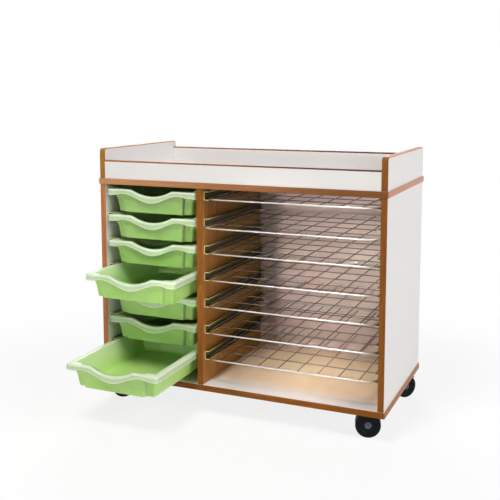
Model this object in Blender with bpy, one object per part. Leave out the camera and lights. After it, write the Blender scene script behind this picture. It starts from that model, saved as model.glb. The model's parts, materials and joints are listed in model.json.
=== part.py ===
"""Painting cabinet with drawers: a wheeled carcass, seven plastic trays and seven wire drying shelves.

Metres, +Z up, front towards -Y. The origin lies on the floor under the middle of the box that
holds the object as it stands, two trays and one shelf pulled out included.
"""

import math

import bmesh
import bpy
from mathutils import Matrix, Vector

# Clearances
SEAT_GAP = 0.0003
TRAY_SIDE_PLAY = 0.0037
TRAY_LIFT_PLAY = 0.003
TRAY_BODY_CLEARANCE = 0.007
SHELF_SIDE_PLAY = 0.0022
AXLE_PLAY = 0.0004
STEM_PLAY = 0.0003

# Boards
BOARD = 0.018
BACK_BOARD = 0.008
EDGE_ROUND = 0.0008
OVERHANG = 0.004
SETBACK = 0.003
SHEET_BAY_WIDTH = 0.552
REAR_ROOM = 0.037
CHEEK_HEIGHT = 0.095
CHEEK_CORNER = 0.012
FRONT_RAIL_HEIGHT = 0.058
BACK_RAIL_HEIGHT = 0.074

# Levels, counted from the top
LEVELS = 7
STACK_GAP = 0.008
FLOOR_GAP = 0.024
TOP_GAP = 0.010

# Trays
TRAY_WIDTH = 0.312
TRAY_DEPTH = 0.427
TRAY_HEIGHT = 0.075
TRAY_WALL = 0.0022
TRAY_TAPER = 0.010
RIM_HEIGHT = 0.020
RIM_SIDE_WIDTH = 0.016
RIM_FRONT_WIDTH = 0.020
RIM_REAR_WIDTH = 0.012
RIM_CORNER = 0.006
BODY_CORNER = 0.009
GRIP_DIP = 0.0195
GRIP_SKIRT = 0.041
GRIP_HUMP = 0.014
GRIP_DIP_REACH = 0.232
GRIP_HUMP_REACH = 0.32
GRIP_END_REACH = 0.43
GRIP_CORNER_ROOM = 0.001
FRONT_PANEL_STEP = 0.0115
FRONT_PANEL_REACH = 0.36
FRONT_PANEL_SIDE_RUN = 0.0035
TRAY_SETBACK = 0.003

# Runners
RUNNER_WALL = 0.002
RUNNER_FRONT_INSET = 0.015

# Wire shelves
EDGE_WIRE = 0.005
GRID_WIRE = 0.0026
WIRE_OVERLAP = 0.0005
SHELF_DEPTH = 0.440
SHELF_CORNER = 0.045
SHELF_FRONT_INSET = 0.003
LONG_WIRE_PITCH = 0.0625
CROSS_WIRE_PITCH = 0.088

# Castors
WHEEL_DIAMETER = 0.075
WHEEL_WIDTH = 0.0155
WHEEL_EDGE_ROUND = 0.003
WHEEL_WEB_GAP = 0.0005
HUB_RADIUS = 0.011
RECESS_RADIUS = 0.024
RECESS_DEPTH = 0.002
AXLE_DIAMETER = 0.008
AXLE_BOSS_RADIUS = 0.011
CASTOR_WEB = 0.008
HOOD_GAP = 0.002
HOOD_WALL = 0.0025
HOOD_SPREAD_DEGREES = 100
SWIVEL_NECK = 0.0022
SWIVEL_BOSS_DIAMETER = 0.020
STEM_DIAMETER = 0.010
STEM_COVER = 0.005
CASTOR_TRAIL = 0.014
CASTOR_SIDE_INSET = 0.047
CASTOR_END_INSET = 0.068

# How the object stands in its rest pose
FOURTH_TRAY_OUT = 0.133
SEVENTH_TRAY_OUT = 0.243
SECOND_SHELF_OUT = 0.030
TRAY_PULLED_OUT = {4: FOURTH_TRAY_OUT, 7: SEVENTH_TRAY_OUT}
SHELF_PULLED_OUT = {2: SECOND_SHELF_OUT}
CASTOR_TRAIL_DEGREES = {
    "front_left": 222,
    "front_right": 196,
    "rear_left": 120,
    "rear_right": 48,
}

# Facets
WHEEL_FACETS = 20
PIN_FACETS = 16
CORNER_FACETS = 3
GRIP_FACETS = 10

# Widths across the cabinet, from the left side panel's outer face
TRAY_BAY_WIDTH = TRAY_WIDTH + 2 * (SEAT_GAP + RUNNER_WALL + TRAY_SIDE_PLAY)
CABINET_WIDTH = 3 * BOARD + TRAY_BAY_WIDTH + SHEET_BAY_WIDTH
LEFT_OUTER = -CABINET_WIDTH / 2
LEFT_INNER = LEFT_OUTER + BOARD
DIVIDER_LEFT = LEFT_INNER + TRAY_BAY_WIDTH
DIVIDER_RIGHT = DIVIDER_LEFT + BOARD
RIGHT_INNER = DIVIDER_RIGHT + SHEET_BAY_WIDTH
RIGHT_OUTER = RIGHT_INNER + BOARD

# Heights
WHEEL_RADIUS = WHEEL_DIAMETER / 2
HOOD_INNER = WHEEL_RADIUS + HOOD_GAP
HOOD_OUTER = HOOD_INNER + HOOD_WALL
CASTOR_HEIGHT = WHEEL_RADIUS + HOOD_OUTER + SWIVEL_NECK + SEAT_GAP
BASE_TOP = CASTOR_HEIGHT + BOARD
CHANNEL_HEIGHT = RIM_HEIGHT + TRAY_LIFT_PLAY
LEVEL_PITCH = TRAY_HEIGHT + STACK_GAP
LOWEST_LIP = BASE_TOP + FLOOR_GAP + TRAY_HEIGHT - RIM_HEIGHT
TOP_LIP = LOWEST_LIP + (LEVELS - 1) * LEVEL_PITCH
TOP_UNDERSIDE = TOP_LIP + CHANNEL_HEIGHT + RUNNER_WALL + TOP_GAP
TOP_FACE = TOP_UNDERSIDE + BOARD

# Depths, measured from the front edge of the base and top boards and then moved to the origin
PANEL_DEPTH = TRAY_DEPTH + REAR_ROOM + BACK_BOARD
CABINET_DEPTH = PANEL_DEPTH + 2 * SETBACK
FOREMOST = min(0, SETBACK + TRAY_SETBACK - max(TRAY_PULLED_OUT.values()))
FRONT = -(CABINET_DEPTH + FOREMOST) / 2
REAR = FRONT + CABINET_DEPTH
PANEL_FRONT = FRONT + SETBACK
PANEL_REAR = PANEL_FRONT + PANEL_DEPTH
BACK_FRONT = PANEL_REAR - BACK_BOARD
RUNNER_REACH = RUNNER_WALL + TRAY_SIDE_PLAY + RIM_SIDE_WIDTH - TRAY_BODY_CLEARANCE


def lip_height(level):
    """Height of the runners' lower lips at a level, 1 at the top."""
    return TOP_LIP - (level - 1) * LEVEL_PITCH


def clear_scene():
    """Remove every object of the open scene."""
    for obj in list(bpy.data.objects):
        bpy.data.objects.remove(obj, do_unlink=True)


def material(name, colour, roughness, metallic=0.0, transmission=0.0):
    """A Principled material with one linear colour."""
    made = bpy.data.materials.new(name)
    made.use_nodes = True
    made.diffuse_color = (*colour, 1)
    shader = made.node_tree.nodes["Principled BSDF"]
    shader.inputs["Base Color"].default_value = (*colour, 1)
    shader.inputs["Roughness"].default_value = roughness
    shader.inputs["Metallic"].default_value = metallic
    shader.inputs["Transmission Weight"].default_value = transmission
    return made


def place(name, mesh, materials, location=(0, 0, 0), turn=0.0):
    """Link a named object that shows the mesh, turned about Z."""
    if not mesh.materials:
        for each in materials:
            mesh.materials.append(each)
    obj = bpy.data.objects.new(name, mesh)
    obj.location = location
    obj.rotation_euler = (0, 0, turn)
    bpy.context.scene.collection.objects.link(obj)
    return obj


def mesh_from(name, bm, smooth_angle=None):
    """Turn a bmesh into a mesh with its faces pointing out."""
    bmesh.ops.recalc_face_normals(bm, faces=bm.faces)
    mesh = bpy.data.meshes.new(name)
    bm.to_mesh(mesh)
    bm.free()
    if smooth_angle is not None:
        mesh.shade_smooth()
        mesh.set_sharp_from_angle(angle=smooth_angle)
    return mesh


def arc(centre, radius, start, end, facets):
    """Points of a circle's arc in a plane, angles in degrees, both ends included."""
    points = []
    for i in range(facets + 1):
        angle = math.radians(start + (end - start) * i / facets)
        points.append((centre[0] + radius * math.cos(angle), centre[1] + radius * math.sin(angle)))
    return points


def prism(outline, direction):
    """A bmesh of a closed outline of 3-D points pushed along a direction."""
    bm = bmesh.new()
    face = bm.faces.new([bm.verts.new(point) for point in outline])
    pushed = bmesh.ops.extrude_face_region(bm, geom=[face])
    moved = [item for item in pushed["geom"] if isinstance(item, bmesh.types.BMVert)]
    bmesh.ops.translate(bm, verts=moved, vec=direction)
    return bm


def turned(profile, facets):
    """A bmesh of a profile of (place along Y, radius) turned about Y, a flat facet at the bottom."""
    bm = bmesh.new()
    corner = 1 / math.cos(math.pi / facets)
    rings = []
    for along, radius in profile:
        if radius == 0:
            rings.append([bm.verts.new((0, along, 0))])
            continue
        ring = []
        for i in range(facets):
            angle = 2 * math.pi * (i + 0.5) / facets - math.pi / 2
            spot = (radius * corner * math.cos(angle), along, radius * corner * math.sin(angle))
            ring.append(bm.verts.new(spot))
        rings.append(ring)
    for first, second in zip(rings, rings[1:]):
        for i in range(facets):
            quad = [first[i % len(first)], first[(i + 1) % len(first)],
                    second[(i + 1) % len(second)], second[i % len(second)]]
            bm.faces.new(list(dict.fromkeys(quad)))
    return bm


def upright_pin(diameter, bottom, top, centre=(0, 0)):
    """A bmesh of a round pin that stands along Z."""
    bm = bmesh.new()
    at = Matrix.Translation((centre[0], centre[1], (bottom + top) / 2))
    bmesh.ops.create_cone(bm, cap_ends=True, segments=PIN_FACETS, radius1=diameter / 2,
                          radius2=diameter / 2, depth=top - bottom, matrix=at)
    return bm


def helper(name, bm):
    """A hidden object for a Boolean."""
    obj = place(name, mesh_from(name, bm), [])
    obj.hide_render = True
    obj.display_type = "WIRE"
    return obj


def combine(obj, operation, other):
    """Add an exact Boolean modifier."""
    modifier = obj.modifiers.new(operation.lower() + "_" + other.name, "BOOLEAN")
    modifier.operation = operation
    modifier.solver = "EXACT"
    modifier.object = other


def baked(obj, helpers, smooth_angle):
    """The evaluated mesh of an object, after which the object and its helpers are removed."""
    graph = bpy.context.evaluated_depsgraph_get()
    mesh = bpy.data.meshes.new_from_object(obj.evaluated_get(graph))
    for each in [obj, *helpers]:
        bpy.data.objects.remove(each, do_unlink=True)
    mesh.materials.clear()
    mesh.shade_smooth()
    mesh.set_sharp_from_angle(angle=smooth_angle)
    return mesh


def board(name, low, high, materials, edged_axes):
    """A board between two corners. Its faces across the edged axes carry the edge band."""
    low, high = Vector(low), Vector(high)
    bm = bmesh.new()
    bmesh.ops.create_cube(bm, size=1, matrix=Matrix.Diagonal((*(high - low), 1)))
    bmesh.ops.bevel(bm, geom=bm.edges[:], offset=EDGE_ROUND, segments=1, affect="EDGES")
    bm.normal_update()
    for face in bm.faces:
        sizes = [abs(part) for part in face.normal]
        face.material_index = int(sizes.index(max(sizes)) in edged_axes)
    return place(name, mesh_from(name, bm), materials, (low + high) / 2)


def cheek(name, left, materials):
    """An upright board on the top board, with its two upper corners rounded."""
    depth = PANEL_DEPTH
    low, high = TOP_FACE + SEAT_GAP, TOP_FACE + CHEEK_HEIGHT
    reach = CHEEK_HEIGHT - SEAT_GAP - CHEEK_CORNER
    outline = [(-depth / 2, 0), (depth / 2, 0)]
    outline += arc((depth / 2 - CHEEK_CORNER, reach), CHEEK_CORNER, 0, 90, 2 * CORNER_FACETS)
    outline += arc((CHEEK_CORNER - depth / 2, reach), CHEEK_CORNER, 90, 180, 2 * CORNER_FACETS)
    half = (high - low) / 2
    bm = prism([(-BOARD / 2, y, z - half) for y, z in outline], (BOARD, 0, 0))
    bm.normal_update()
    for face in bm.faces:
        face.material_index = int(abs(face.normal.x) < 0.5)
    centre = (left + BOARD / 2, (PANEL_FRONT + PANEL_REAR) / 2, (low + high) / 2)
    return place(name, mesh_from(name, bm), materials, centre)


def carcass(faces, edging):
    """The six boards of the body and the four boards of the raised tray on the top."""
    both = [faces, edging]
    outer = OVERHANG
    base = board("base_board", (LEFT_OUTER - outer, FRONT, CASTOR_HEIGHT),
                 (RIGHT_OUTER + outer, REAR, BASE_TOP), both, (0, 1))
    for corner, (x, y) in castor_places().items():
        depth = BOARD - STEM_COVER + STEM_PLAY
        hole = upright_pin(STEM_DIAMETER + 2 * STEM_PLAY, CASTOR_HEIGHT - BOARD,
                           CASTOR_HEIGHT + depth, (x, y))
        combine(base, "DIFFERENCE", helper("stem_hole_" + corner, hole))
    board("top_board", (LEFT_OUTER - outer, FRONT, TOP_UNDERSIDE),
          (RIGHT_OUTER + outer, REAR, TOP_FACE), both, (0, 1))

    low, high = BASE_TOP + SEAT_GAP, TOP_UNDERSIDE - SEAT_GAP
    for name, left in (("left_side_panel", LEFT_OUTER), ("right_side_panel", RIGHT_INNER)):
        board(name, (left, PANEL_FRONT, low), (left + BOARD, PANEL_REAR, high), both, (1,))
    board("divider_panel", (DIVIDER_LEFT, PANEL_FRONT, low),
          (DIVIDER_RIGHT, BACK_FRONT - SEAT_GAP, high), both, (1,))
    board("back_panel", (LEFT_INNER + SEAT_GAP, BACK_FRONT, low),
          (RIGHT_INNER - SEAT_GAP, PANEL_REAR, high), [faces], ())

    cheek("left_cheek", LEFT_OUTER, both)
    cheek("right_cheek", RIGHT_INNER, both)
    start, end = LEFT_INNER + SEAT_GAP, RIGHT_INNER - SEAT_GAP
    low = TOP_FACE + SEAT_GAP
    board("front_rail", (start, PANEL_FRONT, low),
          (end, PANEL_FRONT + BOARD, TOP_FACE + FRONT_RAIL_HEIGHT), both, (2,))
    board("back_rail", (start, PANEL_REAR - BOARD, low),
          (end, PANEL_REAR, TOP_FACE + BACK_RAIL_HEIGHT), both, (2,))


def runner_mesh(name, side):
    """A C-channel open towards the bay. Side is 1 for a wall on the left of its bay, -1 for the right.

    Its own origin is at the front of the lower lip's top, on the wall side.
    """
    top = CHANNEL_HEIGHT + RUNNER_WALL
    outline = [
        (0, -RUNNER_WALL), (RUNNER_REACH, -RUNNER_WALL), (RUNNER_REACH, 0), (RUNNER_WALL, 0),
        (RUNNER_WALL, CHANNEL_HEIGHT), (RUNNER_REACH, CHANNEL_HEIGHT), (RUNNER_REACH, top), (0, top),
    ]
    length = PANEL_DEPTH - BACK_BOARD - SEAT_GAP - RUNNER_FRONT_INSET
    return mesh_from(name, prism([(side * x, 0, z) for x, z in outline], (0, length, 0)))


def runners(plastic):
    """Two runners at each level of both bays."""
    walls = {
        "tray_runner_left": (LEFT_INNER + SEAT_GAP, 1),
        "tray_runner_right": (DIVIDER_LEFT - SEAT_GAP, -1),
        "shelf_runner_left": (DIVIDER_RIGHT + SEAT_GAP, 1),
        "shelf_runner_right": (RIGHT_INNER - SEAT_GAP, -1),
    }
    front = PANEL_FRONT + RUNNER_FRONT_INSET
    for name, (x, side) in walls.items():
        mesh = runner_mesh(name, side)
        for level in range(1, LEVELS + 1):
            place(f"{name}_{level}", mesh, [plastic], (x, front, lip_height(level)))


def grip_stations():
    """Where along the tray's front the rings have points, as shares of the width from the middle."""
    middle = [GRIP_DIP_REACH * (2 * i / GRIP_FACETS - 1) for i in range(GRIP_FACETS + 1)]
    ramp = FRONT_PANEL_SIDE_RUN / TRAY_WIDTH
    beside = [(GRIP_DIP_REACH + GRIP_HUMP_REACH) / 2, GRIP_HUMP_REACH,
              FRONT_PANEL_REACH, FRONT_PANEL_REACH + ramp, GRIP_END_REACH]
    return sorted([*middle, *beside, *(-share for share in beside)])


def grip_dip(share):
    """How far the rim's top edge drops at a share of the width: a circle's arc in the middle."""
    if abs(share) >= GRIP_DIP_REACH:
        return 0.0
    reach = GRIP_DIP_REACH * TRAY_WIDTH
    radius = (reach ** 2 + GRIP_DIP ** 2) / (2 * GRIP_DIP)
    return GRIP_DIP - radius + math.sqrt(radius ** 2 - (share * TRAY_WIDTH) ** 2)


def grip_skirt(share):
    """How far the rim's lower edge lies under the flat top: low in the middle, humped beside it."""
    if abs(share) < GRIP_HUMP_REACH:
        wave = (1 + math.cos(math.pi * share / GRIP_HUMP_REACH)) / 2
        return GRIP_HUMP + (GRIP_SKIRT - GRIP_HUMP) * wave
    rest = min((abs(share) - GRIP_HUMP_REACH) / (GRIP_END_REACH - GRIP_HUMP_REACH), 1)
    return GRIP_HUMP + (RIM_HEIGHT - GRIP_HUMP) * (1 - math.cos(math.pi * rest)) / 2


def tray_ring(half_width, front, rear, corner, height, step=0.0):
    """One closed ring round the tray as 3-D points, from the front left corner to the right.

    Height maps a share of the width to Z on the front stretch, and gives the flat value for None.
    Step pushes the middle of the front outwards. The front's stations are drawn in where the ring's
    own corners leave less room for them.
    """
    points = []
    room = half_width - corner - GRIP_CORNER_ROOM
    drawn_in = min(1, room / (GRIP_END_REACH * TRAY_WIDTH))
    corners = [
        ((-half_width + corner, front + corner), 180, 270),
        ((half_width - corner, front + corner), 270, 360),
        ((half_width - corner, rear - corner), 0, 90),
        ((-half_width + corner, rear - corner), 90, 180),
    ]
    for index, (centre, start, end) in enumerate(corners):
        points += [(x, y, height(None)) for x, y in arc(centre, corner, start, end, CORNER_FACETS)]
        if index:
            continue
        for share in grip_stations():
            pushed = step if abs(share) <= FRONT_PANEL_REACH else 0.0
            place_share = share * drawn_in
            points.append((place_share * TRAY_WIDTH, front - pushed, height(place_share)))
    return points


def tray_mesh():
    """A tapered open box with a folded-down rim all round and a wavy grip at the front.

    Its own origin is at the middle of the rim's front, on the height of the runners' lips.
    """
    base = SEAT_GAP
    top = base + RIM_HEIGHT
    floor = top - TRAY_HEIGHT
    half = TRAY_WIDTH / 2
    body_half = half - RIM_SIDE_WIDTH

    def flat_or(value, lowered):
        return lambda share: value if share is None else value - lowered(share)

    def skirt(share):
        return base if share is None else top - grip_skirt(share)

    def level(value):
        return lambda share: value

    upper = flat_or(top, grip_dip)
    under = flat_or(top - TRAY_WALL, grip_dip)
    wall, narrow = TRAY_WALL, TRAY_TAPER
    front, rear = RIM_FRONT_WIDTH, TRAY_DEPTH - RIM_REAR_WIDTH
    panel = FRONT_PANEL_STEP
    inside = BODY_CORNER - wall
    rings = [
        tray_ring(body_half - narrow - wall, front + narrow + wall, rear - narrow - wall, inside,
                  level(floor + wall), panel),
        tray_ring(body_half - wall, front + wall, rear - wall, inside, upper, panel),
        tray_ring(half, 0, TRAY_DEPTH, RIM_CORNER, upper),
        tray_ring(half, 0, TRAY_DEPTH, RIM_CORNER, skirt),
        tray_ring(half - wall, wall, TRAY_DEPTH - wall, RIM_CORNER - wall, skirt),
        tray_ring(half - wall, wall, TRAY_DEPTH - wall, RIM_CORNER - wall, under),
        tray_ring(body_half, front, rear, BODY_CORNER, under, panel),
        tray_ring(body_half - narrow, front + narrow, rear - narrow, BODY_CORNER, level(floor), panel),
    ]
    bm = bmesh.new()
    loops = [[bm.verts.new(point) for point in ring] for ring in rings]
    count = len(loops[0])
    for first, second in zip(loops, loops[1:]):
        for i in range(count):
            after = (i + 1) % count
            bm.faces.new((first[i], first[after], second[after], second[i]))
    bm.faces.new(loops[0])
    bm.faces.new(loops[-1])
    return mesh_from("tray", bm, math.radians(30))


def trays(plastic):
    """Seven trays on their runners."""
    mesh = tray_mesh()
    middle = (LEFT_INNER + DIVIDER_LEFT) / 2
    for level in range(1, LEVELS + 1):
        out = TRAY_PULLED_OUT.get(level, 0.0)
        place(f"tray_{level}", mesh, [plastic], (middle, PANEL_FRONT + TRAY_SETBACK - out, lip_height(level)))


def wires(name, paths, diameter, closed, resolution):
    """A mesh object of round wires along straight or closed paths."""
    curve = bpy.data.curves.new(name, "CURVE")
    curve.dimensions = "3D"
    curve.bevel_depth = diameter / 2
    curve.bevel_resolution = resolution
    curve.use_fill_caps = True
    for path in paths:
        spline = curve.splines.new("POLY")
        spline.points.add(len(path) - 1)
        spline.use_cyclic_u = closed
        for point, spot in zip(spline.points, path):
            point.co = (*spot, 1)
    guide = bpy.data.objects.new(name + "_guide", curve)
    bpy.context.scene.collection.objects.link(guide)
    mesh = baked(guide, [], math.radians(60))
    obj = place(name, mesh, [])
    obj.hide_render = True
    return obj


def spread(pitch, room):
    """Evenly spaced places about the middle of a room, with at least half a pitch left at its ends."""
    count = max(int(room / pitch), 1)
    return [pitch * (i - (count - 1) / 2) for i in range(count)]


def set_in(place_along, half, radius):
    """How far a rounded corner holds the edge back at a place along a side of the given half length."""
    past = max(abs(place_along) - (half - radius), 0)
    return radius - math.sqrt(radius ** 2 - past ** 2)


def shelf_mesh():
    """An edge wire with rounded corners, long wires and cross wires, welded into one grid.

    Its own origin is at the middle of the front, on the height of the runners' lips.
    """
    play = SEAT_GAP + RUNNER_WALL + SHELF_SIDE_PLAY
    half = SHEET_BAY_WIDTH / 2 - play - EDGE_WIRE / 2
    front, rear = EDGE_WIRE / 2, SHELF_DEPTH - EDGE_WIRE / 2
    middle = (front + rear) / 2
    level = SEAT_GAP + EDGE_WIRE / 2
    turn = SHELF_CORNER - EDGE_WIRE / 2
    outline = arc((-half + turn, front + turn), turn, 180, 270, 2 * CORNER_FACETS)
    outline += arc((half - turn, front + turn), turn, 270, 360, 2 * CORNER_FACETS)
    outline += arc((half - turn, rear - turn), turn, 0, 90, 2 * CORNER_FACETS)
    outline += arc((-half + turn, rear - turn), turn, 90, 180, 2 * CORNER_FACETS)
    edge = wires("edge_wire", [[(x, y, level) for x, y in outline]], EDGE_WIRE, True, 1)
    raised = level + (GRID_WIRE - WIRE_OVERLAP) / 2
    lowered = level - (GRID_WIRE - WIRE_OVERLAP) / 2
    long_ends = [((x, front + set_in(x, half, turn), raised), (x, rear - set_in(x, half, turn), raised))
                 for x in spread(LONG_WIRE_PITCH, 2 * half)]
    tail = middle - front
    cross_ends = [((set_in(y, tail, turn) - half, middle + y, lowered),
                   (half - set_in(y, tail, turn), middle + y, lowered))
                  for y in spread(CROSS_WIRE_PITCH, 2 * tail)]
    long_wires = wires("long_wires", long_ends, GRID_WIRE, False, 0)
    cross_wires = wires("cross_wires", cross_ends, GRID_WIRE, False, 0)
    combine(edge, "UNION", long_wires)
    combine(edge, "UNION", cross_wires)
    return baked(edge, [long_wires, cross_wires], math.radians(50))


def shelves(chrome):
    """Seven wire shelves on their runners."""
    mesh = shelf_mesh()
    middle = (DIVIDER_RIGHT + RIGHT_INNER) / 2
    front = PANEL_FRONT + SHELF_FRONT_INSET
    for level in range(1, LEVELS + 1):
        out = SHELF_PULLED_OUT.get(level, 0.0)
        place(f"wire_shelf_{level}", mesh, [chrome], (middle, front - out, lip_height(level)))


def castor_places():
    """The swivel axes in plan, by corner."""
    places = {}
    for end, y in (("front", FRONT + CASTOR_END_INSET), ("rear", REAR - CASTOR_END_INSET)):
        places[end + "_left"] = (LEFT_OUTER + CASTOR_SIDE_INSET, y)
        places[end + "_right"] = (RIGHT_OUTER - CASTOR_SIDE_INSET, y)
    return places


def wheels_mesh():
    """Two wheels on one axle along Y, as one turned solid about its own origin."""
    inner = CASTOR_WEB / 2 + WHEEL_WEB_GAP
    outer = inner + WHEEL_WIDTH
    tread = WHEEL_RADIUS - WHEEL_EDGE_ROUND
    half = [
        (outer, 0), (outer, HUB_RADIUS), (outer - RECESS_DEPTH, HUB_RADIUS + RECESS_DEPTH),
        (outer - RECESS_DEPTH, RECESS_RADIUS - RECESS_DEPTH), (outer, RECESS_RADIUS),
        (outer, tread), (outer - WHEEL_EDGE_ROUND, WHEEL_RADIUS),
        (inner + WHEEL_EDGE_ROUND, WHEEL_RADIUS), (inner, tread), (inner, AXLE_DIAMETER / 2),
    ]
    profile = [(-along, radius) for along, radius in half]
    profile += [(along, radius) for along, radius in reversed(half)]
    return mesh_from("castor_wheels", turned(profile, WHEEL_FACETS), math.radians(30))


def housing_mesh():
    """A swivel housing: a hood over both wheels, a web between them, a boss and a stem.

    Its own origin is on the swivel axis, at the base board's underside. The axle trails along +X.
    """
    axle_z = WHEEL_RADIUS - CASTOR_HEIGHT
    half = CASTOR_WEB / 2 + WHEEL_WEB_GAP + WHEEL_WIDTH
    axle = (CASTOR_TRAIL, axle_z)
    aside = HOOD_SPREAD_DEGREES / 2
    outline = arc(axle, HOOD_OUTER, 90 - aside, 90 + aside, WHEEL_FACETS)
    outline += arc(axle, AXLE_BOSS_RADIUS, 180, 360, PIN_FACETS // 2)
    body = helper("housing", prism([(x, -half, z) for x, z in outline], (0, 2 * half, 0)))
    boss = helper("boss", upright_pin(SWIVEL_BOSS_DIAMETER, axle_z, -SEAT_GAP))
    stem = helper("stem", upright_pin(STEM_DIAMETER, axle_z, BOARD - STEM_COVER))
    hollow = helper("wheel_hollow_left", turned([(CASTOR_WEB / 2, 0), (CASTOR_WEB / 2, HOOD_INNER),
                                                 (2 * half, HOOD_INNER), (2 * half, 0)], WHEEL_FACETS))
    other = helper("wheel_hollow_right", turned([(-2 * half, 0), (-2 * half, HOOD_INNER),
                                                 (-CASTOR_WEB / 2, HOOD_INNER), (-CASTOR_WEB / 2, 0)],
                                                WHEEL_FACETS))
    bore_radius = AXLE_DIAMETER / 2 + AXLE_PLAY
    bore = helper("axle_bore", turned([(-half, 0), (-half, bore_radius), (half, bore_radius), (half, 0)],
                                      WHEEL_FACETS))
    for cutter in (hollow, other, bore):
        cutter.location = (CASTOR_TRAIL, 0, axle_z)
    combine(body, "UNION", boss)
    combine(body, "UNION", stem)
    for cutter in (hollow, other, bore):
        combine(body, "DIFFERENCE", cutter)
    return baked(body, [boss, stem, hollow, other, bore], math.radians(30))


def castors(plastic):
    """Four swivel castors, each turned as it stands in the rest pose."""
    housing, pair = housing_mesh(), wheels_mesh()
    for corner, (x, y) in castor_places().items():
        angle = math.radians(CASTOR_TRAIL_DEGREES[corner])
        place("castor_housing_" + corner, housing, [plastic], (x, y, CASTOR_HEIGHT), angle)
        axle = (x + CASTOR_TRAIL * math.cos(angle), y + CASTOR_TRAIL * math.sin(angle), WHEEL_RADIUS)
        place("castor_wheels_" + corner, pair, [plastic], axle, angle)


def main():
    """Build the cabinet."""
    clear_scene()
    carcass(material("white_melamine", (0.83, 0.83, 0.83), 0.45),
            material("wood_edging", (0.38, 0.15, 0.055), 0.5))
    runners(material("olive_plastic", (0.42, 0.40, 0.10), 0.35))
    trays(material("green_plastic", (0.30, 0.60, 0.22), 0.35, 0.0, 0.2))
    shelves(material("chrome_wire", (0.8, 0.8, 0.8), 0.12, 1.0))
    castors(material("black_plastic", (0.012, 0.015, 0.02), 0.4))


main()
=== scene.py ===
"""Looks of a painting cabinet with drawers: boards, trays, wire shelves, runners and castors.

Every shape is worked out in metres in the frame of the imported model, with +Z up and the front towards -Y.
"""

import json
import logging
from collections.abc import Sequence
from dataclasses import dataclass, field, replace
from enum import Enum

import bpy
import numpy as np
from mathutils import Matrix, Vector


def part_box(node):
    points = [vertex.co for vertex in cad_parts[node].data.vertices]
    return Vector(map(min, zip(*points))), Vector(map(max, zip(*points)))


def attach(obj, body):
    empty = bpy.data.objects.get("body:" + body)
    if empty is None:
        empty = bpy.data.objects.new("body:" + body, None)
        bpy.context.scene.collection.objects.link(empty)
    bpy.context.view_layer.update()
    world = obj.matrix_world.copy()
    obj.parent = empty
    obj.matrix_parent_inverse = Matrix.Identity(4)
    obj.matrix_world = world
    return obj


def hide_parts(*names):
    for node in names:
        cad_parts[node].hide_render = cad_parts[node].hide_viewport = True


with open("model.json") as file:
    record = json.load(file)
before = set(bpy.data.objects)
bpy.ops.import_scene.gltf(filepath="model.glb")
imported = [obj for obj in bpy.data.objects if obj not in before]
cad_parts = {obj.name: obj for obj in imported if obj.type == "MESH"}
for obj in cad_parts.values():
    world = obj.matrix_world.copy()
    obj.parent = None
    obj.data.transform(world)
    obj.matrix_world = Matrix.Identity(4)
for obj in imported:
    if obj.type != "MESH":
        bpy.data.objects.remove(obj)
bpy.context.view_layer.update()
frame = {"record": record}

Array = np.ndarray
Tree = bpy.types.NodeTree
Node = bpy.types.Node
Socket = bpy.types.NodeSocket
LOG = logging.getLogger("painting_cabinet")

LEVELS = range(1, 8)
MM = 0.001
WELD = 1e-7
# Most values of a noise pattern lie between these
MIDDLE_VALUES = (0.3, 0.7)
UP = np.array((0.0, 0.0, 1.0))
ALONG_X = np.array((1.0, 0.0, 0.0))
ALONG_Y = np.array((0.0, 1.0, 0.0))


# Surfaces


@dataclass
class Skin:
    """One closed surface.

    Attributes:
        points: Points in metres, one row each.
        faces: Corner numbers of four-cornered faces; a three-cornered face repeats a corner.
        grain: Distances along and across the surface in metres, one row a point, for its patterns.
        finish: Which of its piece's finishes it wears, for all its faces or for each.
        flat: Whether each face is shaded flat; none is where this is missing.
        glow: How much painted glow and highlight the colour of a cloudy plastic takes at each point, 0 to 1;
            none where this is missing.
    """

    points: Array
    faces: Array
    grain: Array
    finish: int | Array = 0
    flat: Array | None = None
    glow: Array | None = None


def unit(vectors: Array) -> Array:
    """Vectors scaled to a length of one."""
    return vectors / np.linalg.norm(vectors, axis=-1, keepdims=True)


def smooth_step(low: float | Array, high: float | Array, value: Array) -> Array:
    """Rises from 0 at low to 1 at high as 3t^2 - 2t^3, level at both ends."""
    share = np.clip((value - low) / (high - low), 0, 1)
    return share * share * (3 - 2 * share)


def faced_out(skin: Skin) -> Skin:
    """Turn a closed skin's faces outwards, by the sign of the volume that they sweep from the middle.

    Args:
        skin: The skin, which is changed in place.

    Returns:
        The same skin.
    """
    corners = (skin.points - skin.points.mean(axis=0))[skin.faces]
    a, b, c, d = corners.transpose(1, 0, 2)
    if np.einsum("ij,ij->", a, np.cross(b, c) + np.cross(c, d)) < 0:
        skin.faces = skin.faces[:, ::-1]
    return skin


def grid_faces(rows: int, columns: int, loop_rows: bool, loop_columns: bool) -> Array:
    """Corner numbers of the quads between neighbours on a grid.

    Args:
        rows: Number of rows.
        columns: Number of columns.
        loop_rows: Whether the last row joins the first.
        loop_columns: Whether the last column joins the first.

    Returns:
        One row of four corner numbers for each quad.
    """
    number = np.arange(rows * columns).reshape(rows, columns)
    if loop_rows:
        number = np.vstack([number, number[:1]])
    if loop_columns:
        number = np.hstack([number, number[:, :1]])
    quads = [number[:-1, :-1], number[:-1, 1:], number[1:, 1:], number[1:, :-1]]
    return np.stack(quads, axis=-1).reshape(-1, 4)


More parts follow.
